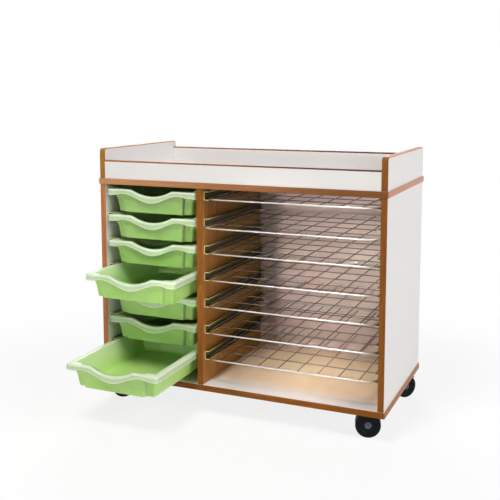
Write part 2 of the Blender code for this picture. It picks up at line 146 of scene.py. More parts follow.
def rounded(corners: Array, radii: Array | float, steps: int = 6, closed: bool = True) -> Array:
    """A polyline with its corners rolled to arcs, in a plane or in space.

    With t the angle between the ways u and v from a corner to its neighbours, the arc's centre lies
    radius / sin(t/2) along their bisector, and the arc swings through pi - t between its touching points.

    Args:
        corners: Corner points, one row each.
        radii: One radius for all corners, or one each.
        steps: Chords of each arc.
        closed: Whether the last corner joins the first. An open line keeps its two ends as they are.

    Returns:
        The points of the rounded line.
    """
    corners = np.asarray(corners, float)
    radii = np.broadcast_to(radii, len(corners))
    u = unit(np.roll(corners, 1, axis=0) - corners)
    v = unit(np.roll(corners, -1, axis=0) - corners)
    half = np.arccos(np.clip((u * v).sum(axis=1), -1, 1)) / 2
    centre = corners + unit(u + v) * (radii / np.sin(half))[:, None]
    reach = (radii / np.tan(half))[:, None]
    first, last = corners + u * reach - centre, corners + v * reach - centre
    swing = (np.pi - 2 * half)[:, None]
    share = np.linspace(0, 1, steps + 1)
    fade = (np.sin((1 - share) * swing) / np.sin(swing))[..., None]
    gain = (np.sin(share * swing) / np.sin(swing))[..., None]
    arcs = centre[:, None] + fade * first[:, None] + gain * last[:, None]
    if closed:
        return arcs.reshape(-1, corners.shape[1])
    return np.concatenate([corners[:1], arcs[1:-1].reshape(-1, corners.shape[1]), corners[-1:]])


def tangents(path: Array, closed: bool) -> Array:
    """Directions along a path, from each point's two neighbours.

    Args:
        path: Points along the way.
        closed: Whether the path is a loop.

    Returns:
        One direction a point.
    """
    if closed:
        return unit(np.roll(path, -1, axis=0) - np.roll(path, 1, axis=0))
    return unit(np.gradient(path, axis=0))


def swept(path: Array, side: Array, up: Array, profile: Array, closed: bool = False,
          finish: int = 0) -> Skin:
    """A closed profile carried along a path: point = path + x * side + y * up, the ends closed by fans.

    Args:
        path: Points along the way.
        side: The profile's x direction, one for all points or one each.
        up: The profile's y direction, likewise.
        profile: Points (x, y) of the profile; each path point may have its own.
        closed: Whether the path is a loop.
        finish: Which of the piece's finishes it wears.

    Returns:
        The closed skin, its grain running along the path.
    """
    side, up = np.broadcast_to(side, path.shape), np.broadcast_to(up, path.shape)
    shape = (len(path), *profile.shape[-2:])
    profile = np.broadcast_to(profile, shape)
    points = path[:, None] + profile[..., :1] * side[:, None] + profile[..., 1:] * up[:, None]
    travelled = np.concatenate([[0.0], np.cumsum(np.linalg.norm(np.diff(path, axis=0), axis=1))])
    along = np.broadcast_to(travelled[:, None], shape[:2])
    grain = np.dstack([along, profile[..., 1], profile[..., 0]])
    if not closed:
        ends = [np.broadcast_to(points[i].mean(axis=0), points[i].shape)[None] for i in (0, -1)]
        points = np.concatenate([ends[0], points, ends[1]])
        grain = np.concatenate([grain[:1], grain, grain[-1:]])
    faces = grid_faces(*points.shape[:2], closed, True)
    return faced_out(Skin(points.reshape(-1, 3), faces, grain.reshape(-1, 3), finish))


def tube(path: Array, up: Array, diameter: float, sides: int, closed: bool = False,
         finish: int = 0) -> Skin:
    """A round wire: a circle carried along a path.

    Args:
        path: Points along the way.
        up: A direction square to the whole path.
        diameter: The wire's diameter.
        sides: Points round the wire.
        closed: Whether the path is a loop.
        finish: Which of the piece's finishes it wears.

    Returns:
        The closed skin.
    """
    turn = np.linspace(0, 2 * np.pi, sides, endpoint=False)
    circle = np.column_stack([np.cos(turn), np.sin(turn)]) * diameter / 2
    return swept(path, unit(np.cross(tangents(path, closed), up)), up, circle, closed, finish)


def turned(profile: Array, centre: Array, axis: Array, around: int) -> Skin:
    """A profile of (along, radius) turned about an axis: centre + along * axis + radius * (cos, sin).

    Args:
        profile: Points from one end on the axis to the other end on it.
        centre: Where along is zero.
        axis: The axis' direction.
        around: Points round the axis.

    Returns:
        The closed skin, its grain holding the distance from the axis and the way round.
    """
    axis = unit(np.asarray(axis, float))
    first = unit(np.cross(axis, ALONG_X if abs(axis[0]) < 0.5 else UP))
    second = np.cross(axis, first)
    turn = np.linspace(0, 2 * np.pi, around, endpoint=False)
    ray = np.cos(turn)[:, None] * first + np.sin(turn)[:, None] * second
    points = centre + profile[:, None, :1] * axis + profile[:, None, 1:] * ray
    radius = np.broadcast_to(profile[:, None, 1], points.shape[:2])
    grain = np.dstack([radius, radius * turn, np.broadcast_to(profile[:, None, 0], points.shape[:2])])
    faces = grid_faces(*points.shape[:2], False, True)
    return faced_out(Skin(points.reshape(-1, 3), faces, grain.reshape(-1, 3)))


def plate(outline: Array, thickness: Array) -> Skin:
    """A flat outline pushed along its thickness, both faces closed by fans from the middle.

    Args:
        outline: Points of the outline in space, seen whole from its middle.
        thickness: The push, as a vector.

    Returns:
        The closed skin.
    """
    middle = np.broadcast_to(outline.mean(axis=0), outline.shape)
    points = np.stack([middle, outline, outline + thickness, middle + thickness])
    faces = grid_faces(*points.shape[:2], False, True)
    return faced_out(Skin(points.reshape(-1, 3), faces, points.reshape(-1, 3)))


def eased_box(low: Array, high: Array, radius: float, steps: int = 3) -> Skin:
    """A box with eased edges: a sphere's grid pulled apart at its three middle planes.

    Point = middle + octant signs * (half size - radius) + radius * direction on the sphere.

    Args:
        low: Lowest corner.
        high: Highest corner.
        radius: Radius of the edges.
        steps: Chords of a quarter turn.

    Returns:
        The closed skin, its six large faces shaded flat.
    """
    quarter = np.linspace(0, np.pi / 2, steps + 1)
    tilt = np.concatenate([quarter - np.pi / 2, quarter])
    turn = (quarter + np.arange(4)[:, None] * np.pi / 2).ravel()
    quadrant = np.repeat(np.arange(4), steps + 1)
    level = np.cos(tilt)[:, None]
    direction = np.dstack([level * np.cos(turn), level * np.sin(turn), np.sin(tilt)[:, None] + 0 * turn])
    octant = np.empty_like(direction)
    octant[..., 0] = np.where(np.isin(quadrant, (0, 3)), 1, -1)
    octant[..., 1] = np.where(quadrant < 2, 1, -1)
    octant[..., 2] = np.repeat((-1, 1), steps + 1)[:, None]
    points = (low + high) / 2 + octant * ((high - low) / 2 - radius) + radius * direction
    rows, columns = points.shape[:2]
    corner = np.arange(4) * (steps + 1)
    caps = np.stack([corner[::-1], corner + (rows - 1) * columns])
    faces = np.concatenate([grid_faces(rows, columns, False, True), caps])
    seam_row = np.arange(rows - 1) == steps
    seam_column = np.arange(columns) % (steps + 1) == steps
    flat = np.concatenate([np.outer(seam_row, seam_column).ravel(), [True, True]])
    return faced_out(Skin(points.reshape(-1, 3), faces, points.reshape(-1, 3), flat=flat))


def beads(places: Array, radii: Array, finish: int = 0) -> Skin:
    """Many small ellipsoids as one skin, each place + radii * sphere direction.

    Args:
        places: Their middles, one row each.
        radii: Their half sizes along the three axes.
        finish: Which of the piece's finishes they wear.

    Returns:
        The skin, a few dozen faces for each.
    """
    rings, around = 5, 8
    tilt = np.linspace(-np.pi / 2, np.pi / 2, rings)[:, None]
    turn = np.linspace(0, 2 * np.pi, around, endpoint=False)
    sphere = np.dstack([np.cos(tilt) * np.cos(turn), np.cos(tilt) * np.sin(turn), np.sin(tilt) + 0 * turn])
    points = places[:, None] + radii * sphere.reshape(1, -1, 3)
    once = grid_faces(*sphere.shape[:2], False, True)
    faces = (once + np.arange(len(places))[:, None, None] * rings * around).reshape(-1, 4)
    return faced_out(Skin(points.reshape(-1, 3), faces, points.reshape(-1, 3), finish))


def mesh_of(name: str, skins: Sequence[Skin], sharp_degrees: float) -> bpy.types.Mesh:
    """Join skins into one mesh. Points of a skin that coincide become one, and collapsed faces are dropped.

    Args:
        name: The mesh's name.
        skins: Closed skins.
        sharp_degrees: Edges that turn more than this stay sharp.

    Returns:
        The mesh, with the point attributes grain and glow, the latter the painted glow and highlights.
    """
    sizes = [len(skin.points) for skin in skins]
    starts = np.cumsum([0, *sizes[:-1]])
    points = np.concatenate([skin.points for skin in skins])
    grain = np.concatenate([skin.grain for skin in skins])
    faces = np.concatenate([skin.faces + start for skin, start in zip(skins, starts)])
    finish = np.concatenate([np.broadcast_to(skin.finish, len(skin.faces)) for skin in skins])
    flat = np.concatenate([np.zeros(len(s.faces), bool) if s.flat is None else s.flat for s in skins])
    glow = np.concatenate([np.zeros(len(s.points)) if s.glow is None else s.glow for s in skins])
    owner = np.repeat(np.arange(len(skins)), sizes)
    keys = np.column_stack([owner, np.round(points / WELD).astype(np.int64)])
    _, first, index = np.unique(keys, axis=0, return_index=True, return_inverse=True)
    faces = index.reshape(-1)[faces]
    kept = faces != np.roll(faces, -1, axis=1)
    whole = kept.sum(axis=1) > 2
    counts = kept[whole].sum(axis=1)
    corners = faces[whole][kept[whole]]
    mesh = bpy.data.meshes.new(name)
    mesh.vertices.add(len(first))
    mesh.loops.add(len(corners))
    mesh.polygons.add(len(counts))
    mesh.vertices.foreach_set("co", points[first].ravel())
    mesh.loops.foreach_set("vertex_index", corners.astype(np.int32))
    mesh.polygons.foreach_set("loop_start", (np.cumsum(counts) - counts).astype(np.int32))
    mesh.polygons.foreach_set("material_index", finish[whole].astype(np.int32))
    mesh.update(calc_edges=True)
    mesh.shade_smooth()
    mesh.set_sharp_from_angle(angle=np.radians(sharp_degrees))
    mesh.polygons.foreach_set("use_smooth", ~flat[whole])
    mesh.attributes.new("grain", "FLOAT_VECTOR", "POINT").data.foreach_set("vector", grain[first].ravel())
    mesh.attributes.new("glow", "FLOAT", "POINT").data.foreach_set("value", glow[first])
    mesh.validate()
    return mesh


# Finishes


def linear(code: str) -> tuple[float, float, float, float]:
    """An sRGB hex colour as linear light.

    Args:
        code: Six hex digits after a hash sign.

    Returns:
        Linear red, green and blue, and an alpha of 1.
    """
    value = np.array([int(code[i:i + 2], 16) for i in (1, 3, 5)]) / 255
    light = np.where(value <= 0.04045, value / 12.92, ((value + 0.055) / 1.055) ** 2.4)
    return (*light.tolist(), 1.0)


def feed(node: Node, inputs: dict[str | int, object]) -> None:
    """Set or link a node's inputs.

    Args:
        node: The node.
        inputs: What each input takes, by name or number: a value, or another node's output.
    """
    for key, value in inputs.items():
        if isinstance(value, Socket):
            node.id_data.links.new(value, node.inputs[key])
        else:
            node.inputs[key].default_value = value


def add(tree: Tree, kind: str, inputs: dict[str | int, object], **settings: object) -> Node:
    """Add a shader node.

    Args:
        tree: The material's or the world's node tree.
        kind: The node's type without its prefix.
        inputs: What each input takes, by name or number: a value, or another node's output.
        settings: The node's own properties.

    Returns:
        The node.
    """
    node = tree.nodes.new("ShaderNode" + kind)
    for name, value in settings.items():
        setattr(node, name, value)
    feed(node, inputs)
    return node


class Pattern(Enum):
    """What a pattern's coordinates follow."""

    ROOM = "the object's own frame"
    SURFACE = "the grain attribute of the surface"


@dataclass(frozen=True)
class Fade:
    """A change of colour along an axis of the object's own frame.

    Attributes:
        colour: The colour further along.
        axis: X, Y or Z.
        start: Where the change begins, in metres.
        end: Where it is full.
        most: How much of the colour is mixed in there.
    """

    colour: str
    axis: str
    start: float
    end: float
    most: float


@dataclass(frozen=True)
class Finish:
    """A surface finish that becomes one shared material.

    Attributes:
        name: The material's name.
        light: Its lighter colour.
        dark: Its darker colour.
        fades: Changes of its colour along the cabinet.
    """

    name: str
    light: str
    dark: str
    fades: tuple[Fade, ...] = field(default=(), kw_only=True)

    def material(self) -> bpy.types.Material:
        """The finish's material, made at its first use.

        Returns:
            The material, the same one at each call.
        """
        made = bpy.data.materials.get(self.name)
        if made is None:
            made = bpy.data.materials.new(self.name)
            made.use_nodes = True
            self.dress(made.node_tree, made.node_tree.nodes["Principled BSDF"])
        return made

    def dress(self, tree: Tree, shader: Node) -> None:
        """Set the shader's sockets and add the finish's patterns."""
        raise NotImplementedError

    def noise(self, tree: Tree, size: Sequence[float], detail: float,
              pattern: Pattern = Pattern.ROOM) -> Socket:
        """A cloudy pattern.

        Args:
            tree: The material's nodes.
            size: How far apart its patches lie along each axis, in millimetres.
            detail: Octaves of finer patches.
            pattern: What its coordinates follow.

        Returns:
            The pattern's value, about 0 to 1.
        """
        if pattern is Pattern.ROOM:
            place = add(tree, "TexCoord", {}).outputs["Object"]
        else:
            place = add(tree, "Attribute", {}, attribute_name="grain").outputs["Vector"]
        scale = [1 / (length * MM) for length in size]
        stretched = add(tree, "Mapping", {"Vector": place, "Scale": scale}).outputs["Vector"]
        inputs = {"Vector": stretched, "Scale": 1.0, "Detail": detail, "Roughness": 0.55}
        return add(tree, "TexNoise", inputs).outputs["Fac"]

    def between(self, tree: Tree, value: Socket, first: str | Socket, second: str,
                span: tuple[float, float] = MIDDLE_VALUES, most: float = 1.0) -> Socket:
        """A colour that goes from one to another as a pattern's value crosses a span.

        Args:
            tree: The material's nodes.
            value: The pattern.
            first: The colour before the span, as a hex code or another node's output.
            second: The colour past it.
            span: The values between which the colour changes.
            most: How much of the second colour is mixed in past the span.

        Returns:
            The mixed colour.
        """
        start = linear(first) if isinstance(first, str) else first
        limits = {"Value": value, "From Min": span[0], "From Max": span[1], "To Max": most}
        share = add(tree, "MapRange", limits).outputs["Result"]
        return add(tree, "Mix", {0: share, 6: start, 7: linear(second)}, data_type="RGBA").outputs[2]

    def painted_glow_colour(self, tree: Tree, body: Socket, edge: str, dull: str) -> Socket:
        """The colour of a cloudy plastic with painted glow and highlights, by its glow attribute.

        Args:
            tree: The material's nodes.
            body: The colour where the painted glow is 0.
            edge: The painted highlight colour of a lit edge, where the painted glow is 1.
            dull: The colour of a flat between two such edges, where the painted glow is 2.

        Returns:
            The mixed colour.
        """
        glow = add(tree, "Attribute", {}, attribute_name="glow").outputs["Fac"]
        paler = add(tree, "Mix", {0: glow, 6: body, 7: linear(edge)}, data_type="RGBA").outputs[2]
        past = add(tree, "Math", {0: glow, 1: 1.0}, operation="SUBTRACT").outputs[0]
        return add(tree, "Mix", {0: past, 6: paler, 7: linear(dull)}, data_type="RGBA").outputs[2]

    def faded(self, tree: Tree, colour: Socket, fade: Fade) -> Socket:
        """A colour mixed towards another one along an axis.

        Args:
            tree: The material's nodes.
            colour: The colour before the change.
            fade: The change.

        Returns:
            The mixed colour.
        """
        place = add(tree, "TexCoord", {}).outputs["Object"]
        along = add(tree, "SeparateXYZ", {"Vector": place}).outputs[fade.axis]
        limits = {"Value": along, "From Min": fade.start, "From Max": fade.end, "To Max": fade.most}
        share = add(tree, "MapRange", limits, interpolation_type="SMOOTHSTEP").outputs["Result"]
        return add(tree, "Mix", {0: share, 6: colour, 7: linear(fade.colour)}, data_type="RGBA").outputs[2]

    def surface(self, tree: Tree, shader: Node, colour: Socket, gloss: Socket, rough: tuple[float, float],
                relief: Socket | None = None, depth: float = 0.0) -> None:
        """Give the shader its colour with the finish's fades, its roughness and its relief.

        Args:
            tree: The material's nodes.
            shader: Its shader.
            colour: The colour before any fade.
            gloss: The pattern that the roughness follows.
            rough: The roughness before and past the pattern's middle values.
            relief: The pattern that is raised, if any.
            depth: The relief's full swing, in millimetres.
        """
        for fade in self.fades:
            colour = self.faded(tree, colour, fade)
        spread = add(tree, "MapRange", {"Value": gloss, "From Min": MIDDLE_VALUES[0],
                                        "From Max": MIDDLE_VALUES[1], "To Min": rough[0], "To Max": rough[1]})
        feed(shader, {"Base Color": colour, "Roughness": spread.outputs["Result"]})
        if relief is not None:
            bump = add(tree, "Bump", {"Height": relief, "Distance": depth * MM, "Strength": 1.0})
            feed(shader, {"Normal": bump.outputs["Normal"]})


@dataclass(frozen=True)
class MelamineBoard(Finish):
    """Melamine-faced chipboard: a pressed resin paper, even white with a faint pearl texture."""

    def dress(self, tree: Tree, shader: Node) -> None:
        """Faint clouds 200 mm apart, a soft gloss, and the press plate's pearl.

        The real pearl is too fine to show and is drawn at 1.6 mm.

        Args:
            tree: The material's nodes.
            shader: Its shader.
        """
        clouds = self.noise(tree, (200,) * 3, 2.0)
        pearl = self.noise(tree, (1.6,) * 3, 1.0)
        colour = self.between(tree, clouds, self.dark, self.light)
        self.surface(tree, shader, colour, clouds, (0.36, 0.46), pearl, 0.02)


@dataclass(frozen=True)
class WoodBand(Finish):
    """Edge band of printed plastic, cherry coloured, with streaks along its length.

    Attributes:
        pore: The colour of its pores.
    """

    pore: str

    def dress(self, tree: Tree, shader: Node) -> None:
        """Broad streaks 2 mm wide and 90 mm long, and pores 0.5 mm wide that are pressed into a satin face.

        Args:
            tree: The material's nodes.
            shader: Its shader.
        """
        streaks = self.noise(tree, (90, 2, 4), 4.0, Pattern.SURFACE)
        pores = self.noise(tree, (12, 0.5, 4), 2.0, Pattern.SURFACE)
        broad = self.between(tree, streaks, self.dark, self.light, (0.32, 0.68))
        colour = self.between(tree, pores, broad, self.pore, (0.52, 0.75), 0.55)
        self.surface(tree, shader, colour, pores, (0.42, 0.55), pores, 0.03)
        feed(shader, {"Specular IOR Level": 0.15})


@dataclass(frozen=True)
class WoodDecor(Finish):
    """Board faced with printed wood paper, its grain upright, with a satin face.

    Attributes:
        streak: The colour of its streaks.
    """

    streak: str

    def dress(self, tree: Tree, shader: Node) -> None:
        """Upright streaks 6 mm wide and 250 mm long over tones that change every 50 mm.

        Args:
            tree: The material's nodes.
            shader: Its shader.
        """
        tones = self.noise(tree, (50, 50, 400), 2.0)
        streaks = self.noise(tree, (6, 6, 250), 4.0)
        broad = self.between(tree, tones, self.dark, self.light)
        colour = self.between(tree, streaks, broad, self.streak, (0.48, 0.75), 0.6)
        self.surface(tree, shader, colour, streaks, (0.4, 0.52), streaks, 0.02)


@dataclass(frozen=True)
class PaintedHardboard(Finish):
    """Pressed fibre board with a thin paint that leaves the fibres to be felt; its warm grey is partly its
    own colour and partly painted shade.
    """

    def dress(self, tree: Tree, shader: Node) -> None:
        """Tones that change every 160 mm, a dull face, and fibres drawn at 2.5 mm so that they show.

        Args:
            tree: The material's nodes.
            shader: Its shader.
        """
        tones = self.noise(tree, (160,) * 3, 3.0)
        fibres = self.noise(tree, (2.5, 2.5, 3.5), 3.0)
        colour = self.between(tree, tones, self.dark, self.light)
        self.surface(tree, shader, colour, fibres, (0.5, 0.66), fibres, 0.05)


@dataclass(frozen=True)
class CloudyPlastic(Finish):
    """Injection-moulded polypropylene without filler: light goes a little way in, so walls glow; the rims'
    and edges' pale glow and highlights are painted into its colour.

    Attributes:
        rim: The painted highlight colour along the rim's edges.
        rim_face: The colour of the rim's flat face between those painted highlights.
        reach: How far light goes in, in metres.
    """

    rim: str
    rim_face: str
    reach: float

    def dress(self, tree: Tree, shader: Node) -> None:
        """Flow clouds 60 mm wide, a soft gloss, and the mould's spark-eroded grain.

        The real grain is too fine to show and is drawn at 1.4 mm.

        Args:
            tree: The material's nodes.
            shader: Its shader.
        """
        clouds = self.noise(tree, (60, 60, 30), 3.0)
        grain = self.noise(tree, (1.4,) * 3, 2.0)
        body = self.between(tree, clouds, self.dark, self.light)
        colour = self.painted_glow_colour(tree, body, self.rim, self.rim_face)
        self.surface(tree, shader, colour, clouds, (0.3, 0.4), grain, 0.04)
        feed(shader, {"Subsurface Weight": 0.9, "Subsurface Radius": (1.0, 0.75, 0.9),
                      "Subsurface Scale": self.reach, "IOR": 1.49})


@dataclass(frozen=True)
class ExtrudedPlastic(Finish):
    """Extruded runner plastic: olive yellow, glossy, with die lines along its length; its dark body colour is
    partly its own and partly painted shade.

    Attributes:
        edge: The painted highlight colour of its sawn ends and of its free edges near the front.
    """

    edge: str

    def dress(self, tree: Tree, shader: Node) -> None:
        """Die lines 0.7 mm apart and 300 mm long in the gloss and the tone, and painted highlights on the
        sawn ends and edges.

        Args:
            tree: The material's nodes.
            shader: Its shader.
        """
        lines = self.noise(tree, (0.7, 300, 0.7), 2.0)
        body = self.between(tree, lines, self.dark, self.light)
        colour = self.painted_glow_colour(tree, body, self.edge, self.edge)
        self.surface(tree, shader, colour, lines, (0.22, 0.38), lines, 0.03)
        feed(shader, {"Subsurface Weight": 0.25, "Subsurface Radius": (1.0, 0.9, 0.35),
                      "Subsurface Scale": 3 * MM})


@dataclass(frozen=True)
class ChromePlate(Finish):
    """Chromed steel wire: a bright mirror, a little dull where it was drawn and welded.

    Attributes:
        dullest: The roughness of its dullest patches.
    """

    dullest: float

    def dress(self, tree: Tree, shader: Node) -> None:
        """Patches of duller plating 14 mm apart.

        Args:
            tree: The material's nodes.
            shader: Its shader.
        """
        patches = self.noise(tree, (14,) * 3, 3.0)
        colour = self.between(tree, patches, self.dark, self.light)
        self.surface(tree, shader, colour, patches, (self.dullest - 0.06, self.dullest))
        feed(shader, {"Metallic": 1.0})


@dataclass(frozen=True)
class MouldedNylon(Finish):
    """Glass-filled nylon of castors: satin, with a fine mould grain and scuffs.

    Attributes:
        roughest: The roughness of its scuffs.
    """

    roughest: float

    def dress(self, tree: Tree, shader: Node) -> None:
        """Scuffed patches 9 mm wide, little gloss, and a mould grain drawn at 0.9 mm so that it shows.

        Args:
            tree: The material's nodes.
            shader: Its shader.
        """
        scuffs = self.noise(tree, (9,) * 3, 4.0)
        grain = self.noise(tree, (0.9,) * 3, 2.0)
        colour = self.between(tree, scuffs, self.dark, self.light, (0.35, 0.75))
        self.surface(tree, shader, colour, scuffs, (self.roughest - 0.2, self.roughest), grain, 0.03)
        feed(shader, {"Specular IOR Level": 0.12})


# Painted highlights: the bands turn salmon where the light falls on them, behind the cheeks' front corners
# and on the boards' right-hand strips
SALMON = "#c88f74"
PAINTED_TOP_HIGHLIGHT = Fade(SALMON, "Y", -0.113, -0.103, 0.9)
PAINTED_END_HIGHLIGHT = Fade(SALMON, "X", 0.4665, 0.4682, 0.9)

WHITE_BOARD = MelamineBoard("white_melamine_board", "#dfdcda", "#dbd8d6")
# Painted shade: the bay floor's upper face turns tan towards the rear, for the warm shade deep in the sheet
# bay
BAY_FLOOR = MelamineBoard("cream_melamine_board", "#f4efeb", "#efe9e4",
                          fades=(Fade("#f6dcba", "Y", -0.09, 0.0, 1.0),))
OCHRE_EDGE_BAND = WoodBand("ochre_cherry_edge_band", "#a9742a", "#905d1a", "#6a410c",
                           fades=(replace(PAINTED_TOP_HIGHLIGHT, most=0.55),))
# Lit and shaded copies of one cherry band: the paler one is painted light, for band lit from the left; the
# darker one is painted shade, for band further right
LIT_COPY_EDGE_BAND = WoodBand("pale_cherry_edge_band", "#c27d4e", "#ab6537", "#7f4924")
SHADED_COPY_EDGE_BAND = WoodBand("dark_cherry_edge_band", "#905416", "#76410b", "#552d05")
CHEEK_EDGE_BAND = replace(SHADED_COPY_EDGE_BAND, name="salmon_topped_cherry_edge_band", fades=(PAINTED_TOP_HIGHLIGHT,))
BASE_EDGE_BAND = replace(SHADED_COPY_EDGE_BAND, name="salmon_ended_cherry_edge_band",
                         fades=(replace(PAINTED_END_HIGHLIGHT, most=0.35),))
# Painted shade: the top board's band and the rails' lipping darken towards the right, away from the light on
# the left
RIGHTWARD_SHADED_EDGE_BAND = WoodBand("fading_cherry_edge_band", "#cb9368", "#b3784b", "#855733",
                            fades=(Fade("#68380a", "X", -0.45, 0.3, 0.85), PAINTED_END_HIGHLIGHT))
RAIL_EDGE_BAND = WoodBand("fading_cherry_lipping", "#a96f45", "#8f5a33", "#6a4122",
                          fades=(Fade("#4a2405", "X", -0.45, 0.3, 0.85),))
DIVIDER_DECOR = WoodDecor("ochre_wood_decor_board", "#bc8036", "#a66825", "#7c4613",
                          fades=(Fade("#aa822a", "Y", -0.05, 0.16, 0.8),))
# Partly painted shade: the back panel's pale warm grey is darkened and turned pinker for the warm shade
# inside the sheet bay
BACK_PANEL_TONE = PaintedHardboard("grey_painted_hardboard", "#d8c4bd", "#d3beb8")
# Painted glow and highlights: the rims' pale edges and duller face are laid into this colour by the glow
# attribute
TRAY_PLASTIC = CloudyPlastic("green_polypropylene", "#b2da80", "#a4d06e", "#dfebca", "#c2d2aa", 14 * MM)
# The runner's pale edge colour is a painted highlight; its dark body is partly painted shade
RUNNER_PLASTIC = ExtrudedPlastic("olive_extruded_plastic", "#5f5422", "#4c4218", "#f4eca6")
EDGE_CHROME = ChromePlate("chromed_steel_edge_wire", "#cdc6c3", "#bbb4b1", 0.34)
# Painted shade and reflection: the grid wires' chrome is made far darker than the edge wire's, for the dark
# bay that they sit in and mirror; their higher roughness is their own
DARKENED_GRID_CHROME = ChromePlate("dulled_chromed_grid_wire", "#7a726e", "#605955", 0.42)
CASTOR_NYLON = MouldedNylon("black_moulded_nylon", "#0d1115", "#06090c", 0.55)
HUB_NYLON = MouldedNylon("grey_moulded_nylon", "#686b76", "#50535d", 0.5)


# Pieces


def node_box(node: str) -> tuple[Array, Array]:
    """A node's lowest and highest corners at rest."""
    low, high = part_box(node)
    return np.array(low), np.array(high)


def joint_of(name: str) -> tuple[Array, Array]:
    """A joint's place and axis at rest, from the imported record."""
    joint = next(each for each in frame["record"]["behaviour"]["joints"] if each["name"] == name)
    return np.array(joint["pos_m"], float), np.array(joint["axis"], float)


def put(name: str, skins: Sequence[Skin], finishes: Sequence[Finish], body: str,
        replaced: str | None = None, sharp_degrees: float = 40.0) -> None:
    """Add a finished piece to the scene.

    Args:
        name: The piece's name.
        skins: Its closed surfaces.
        finishes: The finishes that the skins' numbers point to.
        body: The body that it moves with.
        replaced: The node that it stands for, if any.
        sharp_degrees: Edges that turn more than this stay sharp.
    """
    mesh = mesh_of(name, skins, sharp_degrees)
    for finish in finishes:
        mesh.materials.append(finish.material())
    piece = bpy.data.objects.new(name, mesh)
    bpy.context.scene.collection.objects.link(piece)
    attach(piece, body)
    if replaced:
        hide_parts(replaced)
    LOG.info("%s: %d faces on %s", name, len(mesh.polygons), body)


class BandRun(Enum):
    """Which edges of a board carry the edge band."""

    ALL_ROUND = "all four edges"
    FRONT_AND_REAR = "the two upright edges"
    FRONT = "the front edge"
    TOP = "the upper edge"
    OVER_THE_TOP = "front, rounded corners, top and rear"


class OwnFace(Enum):
    """A board's face that has a finish of its own, as the axis that it looks along and its sense."""

    LEFT = (0, -1)
    UPPER = (2, 1)


@dataclass
class Board:
    """A faced board with its edge band.

    Attributes:
        node: The node that it stands for.
        run: Which edges carry the band.
        face: The finish of its faces.
        edge: The finish of its band.
        inside: The finish of the face that looks into a bay, where that is another one.
        own: Which face that is.
        band: Thickness of the band.
        band_ease: Radius of the band's outer edges.
        face_ease: Radius of the board's own edges.
        plan_corner: Radius that the band turns at the glue line, at a square corner.
        top_corner: Outer radius of an upright board's rounded corners.
    """

    node: str
    run: BandRun
    face: Finish = WHITE_BOARD
    edge: Finish = SHADED_COPY_EDGE_BAND
    inside: Finish | None = None
    own: OwnFace = OwnFace.LEFT
    band: float = 0.002
    band_ease: float = 0.0013
    face_ease: float = 0.0003
    plan_corner: float = 0.0015
    top_corner: float = 0.012

    def band_profile(self, thickness: float) -> Array:
        """The band's section, its two outer corners eased and its inner ones square.

        Args:
            thickness: The board's thickness.

        Returns:
            Points (x, y), x outwards and y across.
        """
        half = thickness / 2
        corners = np.array([(0, -half), (self.band, -half), (self.band, half), (0, half)])
        tight = 0.00005
        return rounded(corners, np.array((tight, self.band_ease, self.band_ease, tight)), 4)

    def core_and_bands(self) -> tuple[Skin, list[Skin]]:
        """The board's body and the bands on its edges.

        Returns:
            The body, and one skin for each run of band.
        """
        low, high = node_box(self.node)
        middle = (low + high) / 2
        t = self.band
        if self.run is BandRun.ALL_ROUND:
            inset = np.array((t, t, 0))
            a, b = low + inset, high - inset
            corners = np.array([(a[0], a[1]), (b[0], a[1]), (b[0], b[1]), (a[0], b[1])])
            loop = rounded(corners, self.plan_corner, 4)
            path = np.column_stack([loop, np.full(len(loop), middle[2])])
            out = np.cross(tangents(path, True), UP)
            band = swept(path, out, UP, self.band_profile(high[2] - low[2]), True)
            return eased_box(a, b, self.face_ease), [band]
        if self.run is BandRun.OVER_THE_TOP:
            return self.cheek(low, high)
        if self.run is BandRun.TOP:
            path = np.array([(low[0], middle[1], high[2] - t), (high[0], middle[1], high[2] - t)])
            band = swept(path, UP, ALONG_Y, self.band_profile(high[1] - low[1]))
            return eased_box(low, high - (0, 0, t), self.face_ease), [band]
        ends = {low[1] + t: -ALONG_Y}
        if self.run is BandRun.FRONT_AND_REAR:
            ends[high[1] - t] = ALONG_Y
        bands = [swept(np.array([(middle[0], y, low[2]), (middle[0], y, high[2])]), out, ALONG_X,
                       self.band_profile(high[0] - low[0])) for y, out in ends.items()]
        rear = t if self.run is BandRun.FRONT_AND_REAR else 0
        return eased_box(low + (0, t, 0), high - (0, rear, 0), self.face_ease), bands

    def cheek(self, low: Array, high: Array) -> tuple[Skin, list[Skin]]:
        """An upright board whose band climbs its front, turns two rounded corners and comes down its rear.

        Args:
            low: Lowest corner of its box.
            high: Highest corner of its box.

        Returns:
            The body, and one skin for the band.
        """
        t, x = self.band, (low[0] + high[0]) / 2
        front, rear, top = low[1] + t, high[1] - t, high[2] - t
        corners = np.array([(x, front, low[2]), (x, front, top), (x, rear, top), (x, rear, low[2])])
        path = rounded(corners, self.top_corner - t, 10, closed=False)
        out = np.cross(ALONG_X, tangents(path, False))
        band = swept(path, out, ALONG_X, self.band_profile(high[0] - low[0]))
        outline = path - ALONG_X * (high[0] - low[0]) / 2
        return plate(outline, ALONG_X * (high[0] - low[0])), [band]

    def build(self) -> None:
        """Add the board and its band."""
        core, bands = self.core_and_bands()
        finishes = [self.face]
        if self.inside:
            finishes.append(self.inside)
            axis, sense = self.own.value
            along = core.points[:, axis] * sense
            core.finish = (along[core.faces].min(axis=1) > along.max() - WELD).astype(int)
        put(self.node + "_faces", [core], finishes, "cabinet", self.node)
        put(self.node + "_edge_band", bands, [self.edge], "cabinet")


@dataclass
class BackPanel:
    """The thin board that closes the back of both bays.

    Attributes:
        node: The node that it stands for.
        ease: Radius of its edges.
    """

    node: str = "back_panel"
    ease: float = 0.0004

    def build(self) -> None:
        """Add the panel."""
        put(self.node + "_sheet", [eased_box(*node_box(self.node), self.ease)], [BACK_PANEL_TONE], "cabinet",
            self.node)


class WallSide(Enum):
    """Which wall of its bay a runner is on, as the direction that it opens towards."""

    LEFT = 1
    RIGHT = -1


